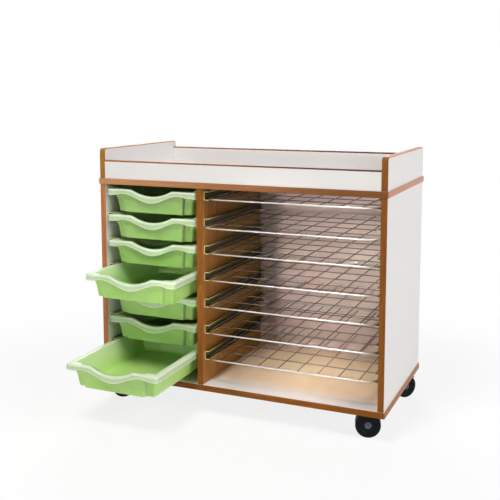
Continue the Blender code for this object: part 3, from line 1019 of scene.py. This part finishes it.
@dataclass
class Runner:
    """An extruded channel that carries one edge of a tray or of a wire shelf.

    Attributes:
        node: The node that it stands for.
        side: The wall that it is on.
        wall: Thickness of its web, flange and lip.
        bend: Middle radius of its two bends.
        end_ease: Radius of its sawn ends' edges.
        bright: How far from the front a highlight is painted on its free edges, and from where on they are
            left dark.
    """

    node: str
    side: WallSide
    wall: float = 0.002
    bend: float = 0.0022
    end_ease: float = 0.0006
    bright: tuple[float, float] = (0.012, 0.12)

    def build(self) -> None:
        """Carry a strip as long as the runner along the C of its section: lip, web and flange.

        At the C's two free ends the strip narrows as cos t while it moves on by sin t, which rounds them.
        """
        low, high = node_box(self.node)
        half = self.wall / 2
        back, free = (low[0], high[0]) if self.side is WallSide.LEFT else (high[0], low[0])
        web, edge = back + self.side.value * half, free - self.side.value * half
        y = (low[1] + high[1]) / 2
        corners = np.array([(edge, y, low[2] + half), (web, y, low[2] + half),
                            (web, y, high[2] - half), (edge, y, high[2] - half)])
        path = rounded(corners, self.bend, 6, closed=False)
        length = (high[1] - low[1]) / 2
        square = np.array([(-half, -length), (half, -length), (half, length), (-half, length)])
        strip = rounded(square, self.end_ease, 3)
        # Extra points along the strip where the painted highlight on the free edges is full and where it has
        # faded
        near, far = self.bright[0] - length, self.bright[1] - length
        marks = [(half, near), (half, far), (-half, far), (-half, near)]
        strip = np.insert(strip, np.repeat((len(strip) // 2, len(strip)), 2), marks, axis=0)
        along = tangents(path, False)
        lead = np.linspace(np.pi / 2, 0, 5)[:-1]
        start = path[0] - along[0] * half * np.sin(lead)[:, None]
        end = (path[-1] + along[-1] * half * np.sin(lead)[:, None])[::-1]
        narrow = np.concatenate([np.cos(lead), np.ones(len(path)), np.cos(lead)[::-1]])
        whole = np.concatenate([start, path, end])
        normal = np.cross(np.pad(along, ((len(lead), len(lead)), (0, 0)), mode="edge"), ALONG_Y)
        profile = strip * np.column_stack([narrow, np.ones(len(narrow))])[:, None]
        channel = swept(whole, normal, ALONG_Y, profile)
        # Painted highlight: the C's free edges are pale near the front and fade to dark further back, and its
        # sawn ends are pale
        tips = np.ones((len(whole) + 2, len(strip)))
        tips[len(lead) + 1:-len(lead) - 1] = 0
        sawn = np.abs(strip[:, 1]) > length - 0.9 * self.end_ease
        front_highlight = np.clip((far - strip[:, 1]) / (far - near), 0, 1)
        channel.glow = np.maximum(tips * front_highlight, sawn).ravel()
        put(self.node + "_channel", [channel], [RUNNER_PLASTIC], "cabinet", self.node)


class RimPart(Enum):
    """How much of the front's dip and of its hanging skirt a corner of the tray's section follows."""

    FIXED = (0.0, 0.0)
    TOP = (1.0, 0.0)
    SKIRT = (0.0, 1.0)


@dataclass
class Tray:
    """A shallow moulded tray with a folded rim and a wavy grip.

    Attributes:
        level: Which tray, 1 at the top.
        wall: Thickness of the plastic.
        taper: How far the walls lean in from the rim to the floor.
        rim_side: Width of the rim at the sides.
        rim_front: Width of the rim at the front's two ends.
        rim_rear: Width of the rim at the rear.
        rim_height: Height of the folded skirt.
        rim_lines: Where on the rim's face, from its top, the painted highlight line along its top ends and
            the one along its bottom begins.
        rim_corner: Plan radius of the rim's corners.
        body_corner: Plan radius of the body's corners.
        wall_step: How far the wall steps in under its upper band.
        step_drop: Height of that step under the skirt's lower edge.
        dip: How far the rim's top edge drops at the middle of the front.
        dip_reach: Where the dip starts, as a share of the width from the middle.
        dip_ease: How softly the dip starts.
        dip_fade: Over how much more of the width that softness dies out.
        skirt: How far the skirt hangs at the middle of the front.
        hump: How far it hangs at its two shallow places.
        hump_reach: Where those lie, as a share of the width from the middle.
        end_reach: Where its level ends start, likewise.
        panel: How far the front's middle panel stands out.
        panel_top: Half its width at the rim, as a share of the width.
        panel_foot: Half its width at the floor, likewise.
        panel_ramp: How far its sides take to fall back, likewise.
        panel_painted_highlight: How strongly a highlight is painted along its upright edges.
        panel_line: How broad that painted highlight is, as a share of the width.
        wall_reach: How far in from the rim's edge the section still belongs to the walls.
        floor_reach: How far in the section ends, at the floor that closes it.
        corner_points: Samples of a quarter turn at a corner.
        front_points: Samples along the front, its ends included.
        side_points: Samples along a side, likewise.
        rear_points: Samples along the rear, likewise.
    """

    level: int
    wall: float = 0.0022
    taper: float = 0.010
    rim_side: float = 0.016
    rim_front: float = 0.020
    rim_rear: float = 0.012
    rim_height: float = 0.020
    rim_lines: tuple[float, ...] = (0.1, 0.22, 0.78, 0.9)
    rim_corner: float = 0.006
    body_corner: float = 0.009
    wall_step: float = 0.0034
    step_drop: float = 0.0135
    dip: float = 0.0195
    dip_reach: float = 0.232
    dip_ease: float = 0.0004
    dip_fade: float = 0.06
    skirt: float = 0.041
    hump: float = 0.014
    hump_reach: float = 0.32
    end_reach: float = 0.43
    panel: float = 0.0115
    panel_top: float = 0.353
    panel_foot: float = 0.320
    panel_ramp: float = 0.011
    panel_painted_highlight: float = 0.15
    panel_line: float = 0.007
    wall_reach: float = 0.04
    floor_reach: float = 0.06
    corner_points: int = 11
    front_points: int = 141
    side_points: int = 16
    rear_points: int = 12

    def round_the_rim(self) -> tuple[Array, Array]:
        """The samples round the tray, from its front left corner by the front to the right.

        Returns:
            Where each sample's corner centre lies as shares of the half sizes, and its way out from there.
        """
        quarter = np.linspace(0, np.pi / 2, self.corner_points)
        front = np.linspace(-1, 1, self.front_points)[1:-1]
        side = np.linspace(-1, 1, self.side_points)[1:-1]
        rear = np.linspace(1, -1, self.rear_points)[1:-1]
        anchors, ways = [], []
        stretches = [(-1, -1, np.pi, front), (1, -1, 1.5 * np.pi, side),
                     (1, 1, 0, rear), (-1, 1, np.pi / 2, -side)]
        for number, (x, y, start, straight) in enumerate(stretches):
            turn = quarter + start
            anchors.append(np.tile((x, y), (len(turn), 1)))
            ways.append(np.column_stack([np.cos(turn), np.sin(turn)]))
            fixed = np.full(len(straight), (-1, 1, 1, -1)[number])
            anchors.append(np.column_stack([fixed, straight] if number % 2 else [straight, fixed]))
            ways.append(np.tile((np.cos(turn[-1]), np.sin(turn[-1])), (len(straight), 1)))
        return np.concatenate(anchors), np.concatenate(ways)

    def drop(self, share: Array, width: float) -> Array:
        """How far the rim's top edge drops: a circle's arc of the dip's depth, eased where it meets the flat.

        Args:
            share: Places along the front as shares of the width from the middle.
            width: The tray's width.

        Returns:
            The drop at each place.
        """
        reach = self.dip_reach * width
        radius = (reach ** 2 + self.dip ** 2) / (2 * self.dip)
        arc = self.dip - radius + np.sqrt(np.maximum(radius ** 2 - (share * width) ** 2, 0))
        eased = (arc + np.sqrt(arc ** 2 + self.dip_ease ** 2)) / 2
        return eased * (1 - smooth_step(self.dip_reach, self.dip_reach + self.dip_fade, np.abs(share)))

    def hang(self, share: Array) -> Array:
        """How far the skirt hangs under the flat rim: a cosine wave in the middle, half a wave beside it.

        Args:
            share: Places along the front as shares of the width from the middle.

        Returns:
            The skirt's height at each place.
        """
        away = np.abs(share)
        wave = (1 + np.cos(np.pi * np.minimum(away / self.hump_reach, 1))) / 2
        rest = np.clip((away - self.hump_reach) / (self.end_reach - self.hump_reach), 0, 1)
        beside = (self.rim_height - self.hump) * (1 - np.cos(np.pi * rest)) / 2
        return self.hump + (self.skirt - self.hump) * wave + beside

    def section(self, height: float) -> Array:
        """The tray's section from its inside floor, over the rim and down to its underside.

        Args:
            height: The tray's whole height.

        Returns:
            One row a point: distance in from the rim's outer edge, height over the skirt's lower edge, the
            shares of the dip and of the skirt that it follows, how much painted glow and highlight it takes,
            and its push out by the side's step.
        """
        floor, top, t = self.rim_height - height, self.rim_height, self.wall
        body, step, ledge = self.rim_side, self.wall_step, -self.step_drop
        lean, middle = self.taper / (top - floor), self.floor_reach
        upper, lower = ledge + step / 2, ledge - step / 2

        def outer(z: float) -> float:
            """The outer wall's distance in at a height."""
            return body + (top - z) * lean

        fixed, rim, skirt = RimPart.FIXED, RimPart.TOP, RimPart.SKIRT
        # Distance in, height, radius, what it follows, painted glow and highlight, and push
        corners = [
            (middle, floor + t, 0.001, fixed, 0, 0),
            (outer(floor) + t, floor + t, 0.012, fixed, 0, 0),
            (body + t, top, 0.0018, rim, 0.8, 0),
            (0, top, 0.0042, rim, 1, 0),
            (0, 0, 0.00105, skirt, 1, 0),
            (t, 0, 0.00105, skirt, 1, 0),
            (t, top - t, 0.0012, rim, 0.5, 0),
            (body - step, top - t, 0.0015, rim, 0.2, step),
            (outer(upper) - step, upper, 0.0012, fixed, 0, step),
            (outer(lower), lower, 0.0012, fixed, 0, 0),
            (outer(floor), floor, 0.0055, fixed, 0, 0),
            (middle, floor, 0.001, fixed, 0, 0),
        ]
        steps, top_edge = 5, 3
        places = np.array([corner[:2] for corner in corners])
        radii = np.array([corner[2] for corner in corners])
        follows = np.array([(*corner[3].value, *corner[4:]) for corner in corners])
        counts = [1, *[steps + 1] * (len(corners) - 2), 1]
        line = rounded(places, radii, steps, closed=False)
        rows = np.column_stack([line, np.repeat(follows, counts, axis=0)])
        # The rim's face gets painted highlight lines along its top and bottom edges and a duller painted
        # middle
        seam = 1 + top_edge * (steps + 1)
        share = np.array(self.rim_lines)[:, None]
        face = rows[seam - 1] * (1 - share) + rows[seam] * share
        face[1:-1, 4] = 2
        return np.insert(rows, seam, face, axis=0)

    def build(self) -> None:
        """Carry the section round the rim: the front's wave is in its heights, its panel in its depths."""
        node = f"tray_{self.level}"
        low, high = node_box(node)
        size = high - low
        anchor, way = self.round_the_rim()
        inset, height, dips, hangs, glow, stepped = self.section(size[2]).T
        folded = np.clip((inset + stepped - self.wall) / (self.rim_side - self.wall), 0, 1)
        corner = np.interp(inset, [0, self.wall, self.rim_side, self.rim_side + self.wall],
                           [self.rim_corner, self.rim_corner - self.wall, self.body_corner,
                            self.body_corner - self.wall])
        half_depth = size[1] / 2 - inset - stepped - corner
        front = -half_depth + (self.rim_front - self.rim_side) * folded
        rear = half_depth - (self.rim_rear - self.rim_side) * folded
        x = anchor[:, 0] * (size[0] / 2 - inset - corner)[:, None] + way[:, 0] * corner[:, None]
        y = front[:, None] + np.outer(rear - front, (anchor[:, 1] + 1) / 2) + way[:, 1] * corner[:, None]
        share = np.where(way[:, 1] < 0, np.abs(x) / size[0], 0.5)
        z = height[:, None] - dips[:, None] * self.drop(share, size[0])
        z = z - hangs[:, None] * (self.hang(share) - self.rim_height)
        down = np.clip((self.rim_height - z) / size[2], 0, 1)
        reach = self.panel_top + (self.panel_foot - self.panel_top) * down
        body_row = (inset + stepped > self.rim_side - self.wall / 2) & (inset < self.wall_reach)
        pushed = self.panel * (1 - smooth_step(reach, reach + self.panel_ramp, share)) * body_row[:, None]
        base = np.array([(low[0] + high[0]) / 2, (low[1] + high[1]) / 2, high[2] - self.rim_height])
        points = base + np.dstack([x, y - pushed, z])
        centres = [np.broadcast_to(points[row].mean(axis=0), points[row].shape)[None] for row in (0, -1)]
        points = np.concatenate([centres[0], points, centres[1]])
        faces = grid_faces(*points.shape[:2], False, True)
        skin = faced_out(Skin(points.reshape(-1, 3), faces, points.reshape(-1, 3)))
        # Painted highlight along the front panel's upright edges, added to the rim's painted glow
        panel_row = body_row & (hangs + dips == 0)
        lit = self.panel_painted_highlight * np.exp(-((share - reach) / self.panel_line) ** 2) * panel_row[:, None]
        skin.glow = np.pad(np.maximum(glow[:, None], lit), ((1, 1), (0, 0))).ravel()
        put(node + "_moulding", [skin], [TRAY_PLASTIC], node, node, sharp_degrees=50.0)


@dataclass
class WireShelf:
    """A welded wire grid with a thicker wire round its edge.

    Attributes:
        level: Which shelf, 1 at the top.
        edge: Diameter of the edge wire.
        wire: Diameter of the grid's wires.
        sunk: How far crossing wires are welded into each other.
        corner: Outer radius of the edge's corners.
        long_pitch: Spacing of the wires that run from front to rear.
        cross_pitch: Spacing of the wires that run across.
        weld: Half sizes of a weld.
        weld_back: How far a weld's middle lies in from the middle of the edge wire.
        edge_sides: Points round the edge wire.
        wire_sides: Points round a wire of the grid.
    """

    level: int
    edge: float = 0.005
    wire: float = 0.0031
    sunk: float = 0.0013
    corner: float = 0.045
    long_pitch: float = 0.0625
    cross_pitch: float = 0.088
    weld: tuple[float, float, float] = (0.0018, 0.0018, 0.0015)
    weld_back: float = 0.0003
    edge_sides: int = 20
    wire_sides: int = 12

    def spread(self, pitch: float, room: float) -> Array:
        """Places a pitch apart about the middle of a room."""
        count = int(room / pitch)
        return pitch * (np.arange(count) - (count - 1) / 2)

    def held_back(self, place: Array, half: float, radius: float) -> Array:
        """How far a rounded corner holds the edge back: radius - sqrt(radius^2 - past^2)."""
        past = np.maximum(np.abs(place) - (half - radius), 0)
        return radius - np.sqrt(radius ** 2 - past ** 2)

    def build(self) -> None:
        """Lay the edge wire round a rounded rectangle, the grid over it, and a weld at each crossing."""
        node = f"wire_shelf_{self.level}"
        low, high = node_box(node)
        middle = (low + high) / 2
        half = (high - low) / 2 - self.edge / 2
        turn = self.corner - self.edge / 2
        signs = np.array([(-1, -1), (1, -1), (1, 1), (-1, 1)])
        loop = rounded(signs * half[:2], turn, 14)
        path = middle + np.column_stack([loop, np.zeros(len(loop))])
        skins = [tube(path, UP, self.edge, self.edge_sides, True)]
        rise = UP * (self.wire - self.sunk) / 2
        columns = self.spread(self.long_pitch, 2 * half[0])
        rows = self.spread(self.cross_pitch, 2 * half[1])
        deep = half[1] - self.held_back(columns, half[0], turn)
        wide = half[0] - self.held_back(rows, half[1], turn)
        for x, y in zip(columns, deep):
            ends = np.array([(x, -y, 0), (x, y, 0)])
            skins.append(tube(middle + ends + rise, UP, self.wire, self.wire_sides, finish=1))
        for y, x in zip(rows, wide):
            ends = np.array([(-x, y, 0), (x, y, 0)])
            skins.append(tube(middle + ends - rise, UP, self.wire, self.wire_sides, finish=1))
        across, along = np.meshgrid(columns, rows)
        crossings = np.column_stack([across.ravel(), along.ravel(), np.zeros(across.size)])
        welds = []
        for sign in (-1, 1):
            welds.append(np.column_stack([columns, sign * (deep - self.weld_back), 0 * columns]) + rise)
            welds.append(np.column_stack([sign * (wide - self.weld_back), rows, 0 * rows]) - rise)
        size = np.array(self.weld)
        skins += [beads(middle + np.concatenate(welds), size), beads(middle + crossings, size, 1)]
        put(node + "_grid", skins, [EDGE_CHROME, DARKENED_GRID_CHROME], node, node, sharp_degrees=60.0)


@dataclass
class Castor:
    """A twin-wheel swivel castor.

    Attributes:
        corner: Which corner of the cabinet.
        radius: The wheels' radius.
        width: Width of one wheel.
        web: Thickness of the plate between the wheels.
        web_gap: Room between that plate and a wheel.
        hub: Radius of the grey cap.
        recess: Outer radius of the sunk ring round it.
        sunk: Depth of that ring.
        hood_gap: Room between the wheels and the hood.
        hood_wall: Thickness of the hood.
        hood_spread: How far the hood reaches round the wheels, in degrees.
        axle: Diameter of the axle.
        axle_boss: Radius of the web round the axle.
        boss: Diameter of the swivel boss.
        stem: Diameter of the stem.
        stem_depth: How far the stem goes into the board.
        wheel_sides: Points round a wheel.
        round_sides: Points round a cap and round the boss.
        sharp_degrees: Edges that turn more than this stay sharp.
    """

    corner: str
    radius: float = 0.0375
    width: float = 0.0155
    web: float = 0.008
    web_gap: float = 0.0005
    hub: float = 0.011
    recess: float = 0.024
    sunk: float = 0.002
    hood_gap: float = 0.002
    hood_wall: float = 0.0025
    hood_spread: float = 100.0
    axle: float = 0.008
    axle_boss: float = 0.011
    boss: float = 0.020
    stem: float = 0.010
    stem_depth: float = 0.0128
    wheel_sides: int = 72
    round_sides: int = 40
    sharp_degrees: float = 35.0

    def wheel_profile(self) -> Array:
        """Both wheels and their axle as one profile, mirrored about the middle of the web.

        Returns:
            Points (along, radius) from one cap's seat to the other.
        """
        inner = self.web / 2 + self.web_gap
        outer = inner + self.width
        hollow = outer - self.sunk
        tread = self.radius
        # The cap's seat and the ring round it, the hollow, the side, the tread, and the inner side
        corners = np.array([
            (outer - 1.2 * MM, 0), (outer - 1.2 * MM, self.hub - 0.3 * MM),
            (outer - 0.2 * MM, self.hub - 0.3 * MM), (outer - 0.2 * MM, self.hub + 0.9 * MM),
            (hollow, self.hub + 1.4 * MM), (hollow, self.recess - 1.6 * MM),
            (outer, self.recess), (outer, tread - 0.6 * MM), (outer - 4 * MM, tread),
            (inner + 4 * MM, tread), (inner, tread - 0.6 * MM), (inner, self.axle / 2),
        ])
        radii = np.array([0.1, 0.2, 0.3, 0.4, 0.5, 0.7, 0.6, 1.6, 2.5, 2.5, 1.6, 0.2]) * MM
        half = rounded(corners, radii, 5, closed=False)
        return np.concatenate([half * (-1, 1), half[::-1]])

    def build(self) -> None:
        """Turn the wheels, their caps and the boss, and carry the hood's section over the wheels."""
        axle, across = joint_of(f"castor_{self.corner}_roll")
        swivel, _ = joint_of(f"castor_{self.corner}_swivel")
        wheel_body, swivel_body = f"castor_wheels_{self.corner}", f"castor_swivel_{self.corner}"
        outer = self.web / 2 + self.web_gap + self.width
        wheels = turned(self.wheel_profile(), axle, across, self.wheel_sides)
        put(f"castor_{self.corner}_wheel_pair", [wheels], [CASTOR_NYLON], wheel_body,
            f"castor_wheels_{self.corner}", self.sharp_degrees)
        cap = np.array([(outer - 1.5 * MM, 0), (outer - 1.5 * MM, self.hub - 0.6 * MM),
                        (outer - 0.1 * MM, self.hub - 0.6 * MM), (outer, 0)])
        cap_line = rounded(cap, np.array((0.1, 0.2, 0.8, 0.1)) * MM, 5, closed=False)
        caps = [turned(cap_line * (sign, 1), axle, across, self.round_sides) for sign in (-1, 1)]
        put(f"castor_{self.corner}_hub_caps", caps, [HUB_NYLON], wheel_body, None,
            self.sharp_degrees)
        hood = self.hood(axle, across, swivel)
        put(f"castor_{self.corner}_swivel_hood", hood, [CASTOR_NYLON], swivel_body,
            f"castor_housing_{self.corner}", self.sharp_degrees)

    def hood(self, axle: Array, across: Array, swivel: Array) -> list[Skin]:
        """The swivel housing.

        Args:
            axle: Middle of the axle.
            across: The axle's direction.
            swivel: Where the swivel axis meets the board.

        Returns:
            The hood over the wheels, the web between them, and the boss with its stem.
        """
        ahead = np.cross(across, UP)
        inside = self.radius + self.hood_gap
        half_width = self.web / 2 + self.web_gap + self.width
        turn = np.pi / 2 + np.radians(np.linspace(-0.5, 0.5, 33) * self.hood_spread)
        way = np.cos(turn)[:, None] * ahead + np.sin(turn)[:, None] * UP
        path = axle + way * (inside + self.hood_wall / 2)
        h = self.hood_wall / 2
        corners = np.array([(-h, -half_width), (h, -half_width), (h, half_width), (-h, half_width)])
        hood = swept(path, way, across, rounded(corners, 0.9 * MM, 4))
        low_turn = np.linspace(np.pi, 2 * np.pi, 25)
        low_way = np.cos(low_turn)[:, None] * ahead + np.sin(low_turn)[:, None] * UP
        outline = np.concatenate([axle + way * (inside + h), axle + low_way * self.axle_boss])
        web = plate(outline - across * self.web / 2, across * self.web)
        drop = swivel[2] - axle[2]
        boss = self.boss / 2
        pin = np.array([(-drop, 0), (-drop, boss), (-0.3 * MM, boss), (-0.3 * MM, self.stem / 2),
                        (self.stem_depth, self.stem / 2), (self.stem_depth, 0)])
        line = rounded(pin, np.array((0.1, 0.4, 0.5, 0.2, 0.8, 0.1)) * MM, 4, closed=False)
        return [hood, web, turned(line, swivel, UP, self.round_sides)]


# Studio


@dataclass(frozen=True)
class Softbox:
    """A soft lamp that looks at the cabinet.

    Attributes:
        name: Its name.
        place: Where it hangs.
        aim: The point that it looks at.
        size: Its width.
        power: Its power in watts.
        colour: The colour of its light.
        spread: How wide its light fans out, in degrees.
    """

    name: str
    place: tuple[float, float, float]
    aim: tuple[float, float, float]
    size: float
    power: float
    colour: str = "#ffffff"
    spread: float = 180.0

    def build(self) -> None:
        """Add the lamp and turn it to its aim."""
        lamp = bpy.data.lights.new(self.name, "AREA")
        lamp.shape = "DISK"
        lamp.size = self.size
        lamp.spread = np.radians(self.spread)
        lamp.energy = self.power
        lamp.color = linear(self.colour)[:3]
        obj = bpy.data.objects.new(self.name, lamp)
        obj.location = self.place
        way = Vector(self.aim) - Vector(self.place)
        obj.rotation_euler = way.to_track_quat("-Z", "Y").to_euler()
        bpy.context.scene.collection.objects.link(obj)


@dataclass(frozen=True)
class Studio:
    """A white floor, an even white surround and soft lamps.

    Attributes:
        lamps: The soft lamps.
        surround: Strength of the light from all round.
        floor_size: Side of the square floor.
        floor_plain: How much of the floor's own white hides its shading close to the cabinet.
        fade: Where the shading starts to fade to plain white, and where it has gone, from the middle.
    """

    lamps: tuple[Softbox, ...]
    surround: float = 0.16
    floor_size: float = 40.0
    floor_plain: float = 0.8
    fade: tuple[float, float] = (0.7, 1.6)

    def seen_directly(self, tree: Tree) -> Socket:
        """Which rays see the plain white.

        Args:
            tree: The world's or the floor's nodes.

        Returns:
            1 for rays from the camera, from gloss and through clear things, or else 0.
        """
        ray = add(tree, "LightPath", {}).outputs
        mirror = {0: ray["Is Glossy Ray"], 1: ray["Is Transmission Ray"]}
        direct = {0: ray["Is Camera Ray"], 1: add(tree, "Math", mirror, operation="MAXIMUM").outputs[0]}
        return add(tree, "Math", direct, operation="MAXIMUM").outputs[0]

    def build(self) -> None:
        """Set the world, the floor and the lamps."""
        scene = bpy.context.scene
        scene.view_settings.view_transform = "Standard"
        world = bpy.data.worlds.new("white_surround")
        world.use_nodes = True
        tree = world.node_tree
        limits = {"Value": self.seen_directly(tree), "To Min": self.surround, "To Max": 1.0}
        strength = add(tree, "MapRange", limits).outputs["Result"]
        feed(tree.nodes["Background"], {"Strength": strength, "Color": linear("#ffffff")})
        scene.world = world
        self.floor()
        for lamp in self.lamps:
            lamp.build()

    def floor(self) -> None:
        """Lay the floor: matt white that takes the cabinet's shadow, fading to plain white away from it."""
        half = self.floor_size / 2
        corners = np.array([(-half, -half, 0), (half, -half, 0), (half, half, 0), (-half, half, 0)])
        mesh = bpy.data.meshes.new("studio_floor")
        mesh.from_pydata(corners.tolist(), [], [(0, 1, 2, 3)])
        floor = bpy.data.objects.new("studio_floor", mesh)
        bpy.context.scene.collection.objects.link(floor)
        made = bpy.data.materials.new("matt_white_paper_floor")
        made.use_nodes = True
        tree = made.node_tree
        shader = tree.nodes["Principled BSDF"]
        feed(shader, {"Base Color": linear("#f4f4f4"), "Roughness": 0.9})
        place = add(tree, "TexCoord", {}).outputs["Object"]
        away = add(tree, "VectorMath", {0: place}, operation="LENGTH").outputs["Value"]
        limits = {"Value": away, "From Min": self.fade[0], "From Max": self.fade[1],
                  "To Min": self.floor_plain, "To Max": 1.0}
        plain = add(tree, "MapRange", limits, interpolation_type="SMOOTHSTEP").outputs["Result"]
        seen = add(tree, "Math", {0: plain, 1: self.seen_directly(tree)}, operation="MULTIPLY")
        white = add(tree, "Emission", {"Color": linear("#ffffff"), "Strength": 1.0})
        mixed = add(tree, "MixShader", {0: seen.outputs[0], 1: shader.outputs[0], 2: white.outputs[0]})
        feed(tree.nodes["Material Output"], {"Surface": mixed.outputs[0]})
        mesh.materials.append(made)


@dataclass(frozen=True)
class PhotoCamera:
    """The photograph's camera, from lines fitted to the cabinet's corners.

    Attributes:
        place: Where it stands.
        pitch: How far it looks down, in degrees.
        yaw: How far it is turned to the left, in degrees.
        lens: Focal length for a 36 mm wide sensor, in millimetres.
        rise: Vertical shift as a share of the image's width.
    """

    place: tuple[float, float, float] = (0.9940, -2.3045, 1.0000)
    pitch: float = 6.600
    yaw: float = 23.250
    lens: float = 58.75
    rise: float = -0.1258

    def build(self) -> None:
        """Add the camera and make it the scene's."""
        data = bpy.data.cameras.new("photo_camera")
        data.sensor_width = 36.0
        data.lens = self.lens
        data.shift_y = self.rise
        data.clip_end = 100.0
        camera = bpy.data.objects.new("photo_camera", data)
        camera.location = self.place
        camera.rotation_euler = (np.radians(90 - self.pitch), 0, np.radians(self.yaw))
        bpy.context.scene.collection.objects.link(camera)
        bpy.context.scene.camera = camera


Part = Board | BackPanel | Runner | Tray | WireShelf | Castor


def cabinet_parts() -> list[Part]:
    """Every sub-assembly of the cabinet.

    Returns:
        The sub-assemblies in the order of their making.
    """
    parts: list[Part] = [
        Board("base_board", BandRun.ALL_ROUND, edge=BASE_EDGE_BAND, inside=BAY_FLOOR, own=OwnFace.UPPER),
        Board("top_board", BandRun.ALL_ROUND, edge=RIGHTWARD_SHADED_EDGE_BAND),
        Board("left_side_panel", BandRun.FRONT_AND_REAR, edge=LIT_COPY_EDGE_BAND),
        Board("right_side_panel", BandRun.FRONT_AND_REAR, inside=DIVIDER_DECOR),
        Board("divider_panel", BandRun.FRONT, face=DIVIDER_DECOR),
        Board("left_cheek", BandRun.OVER_THE_TOP, edge=OCHRE_EDGE_BAND, band=0.003),
        Board("right_cheek", BandRun.OVER_THE_TOP, edge=CHEEK_EDGE_BAND, band=0.003),
        Board("front_rail", BandRun.TOP, edge=RAIL_EDGE_BAND, band=0.0045),
        Board("back_rail", BandRun.TOP, edge=RAIL_EDGE_BAND, band=0.0045),
        BackPanel(),
    ]
    for bay in ("tray", "shelf"):
        for side in WallSide:
            parts += [Runner(f"{bay}_runner_{side.name.lower()}_{level}", side) for level in LEVELS]
    parts += [Tray(level) for level in LEVELS]
    parts += [WireShelf(level) for level in LEVELS]
    parts += [Castor(f"{end}_{side}") for end in ("front", "rear") for side in ("left", "right")]
    return parts


def main() -> None:
    """Build the studio and the cabinet."""
    logging.basicConfig(level=logging.INFO, format="%(name)s: %(message)s")
    PhotoCamera().build()
    Studio((
        Softbox("overhead_softbox", (-0.12, -1.74, 3.17), (0.1, 0.0, 0.35), 0.8, 62.0, "#fffefc"),
        Softbox("front_lamp", (-0.55, -3.3, 0.76), (-0.05, 0.1, 0.45), 0.12, 13.8, "#fffefc"),
        Softbox("sheet_bay_lamp", (-0.6, -3.3, 0.7), (0.19, 0.2, 0.42), 0.06, 0.4, "#fff4ee", 12.0),
        Softbox("tray_bay_lamp", (0.75, -2.7, 1.05), (-0.3, 0.0, 0.42), 0.1, 0.07, "#ffffff", 11.0),
        Softbox("bay_floor_lamp", (0.2, -2.1, 2.55), (0.18, 0.14, 0.1), 0.03, 0.3, "#fff2e6", 9.0),
        Softbox("right_softbox", (6.5, -0.9, 3.6), (0.2, 0.1, 0.6), 4.0, 285.0),
        Softbox("rear_softbox", (-2.0, 4.5, 2.6), (0.0, 0.2, 0.4), 2.5, 110.0),
    )).build()
    for part in cabinet_parts():
        part.build()


if __name__ == "__main__":
    main()
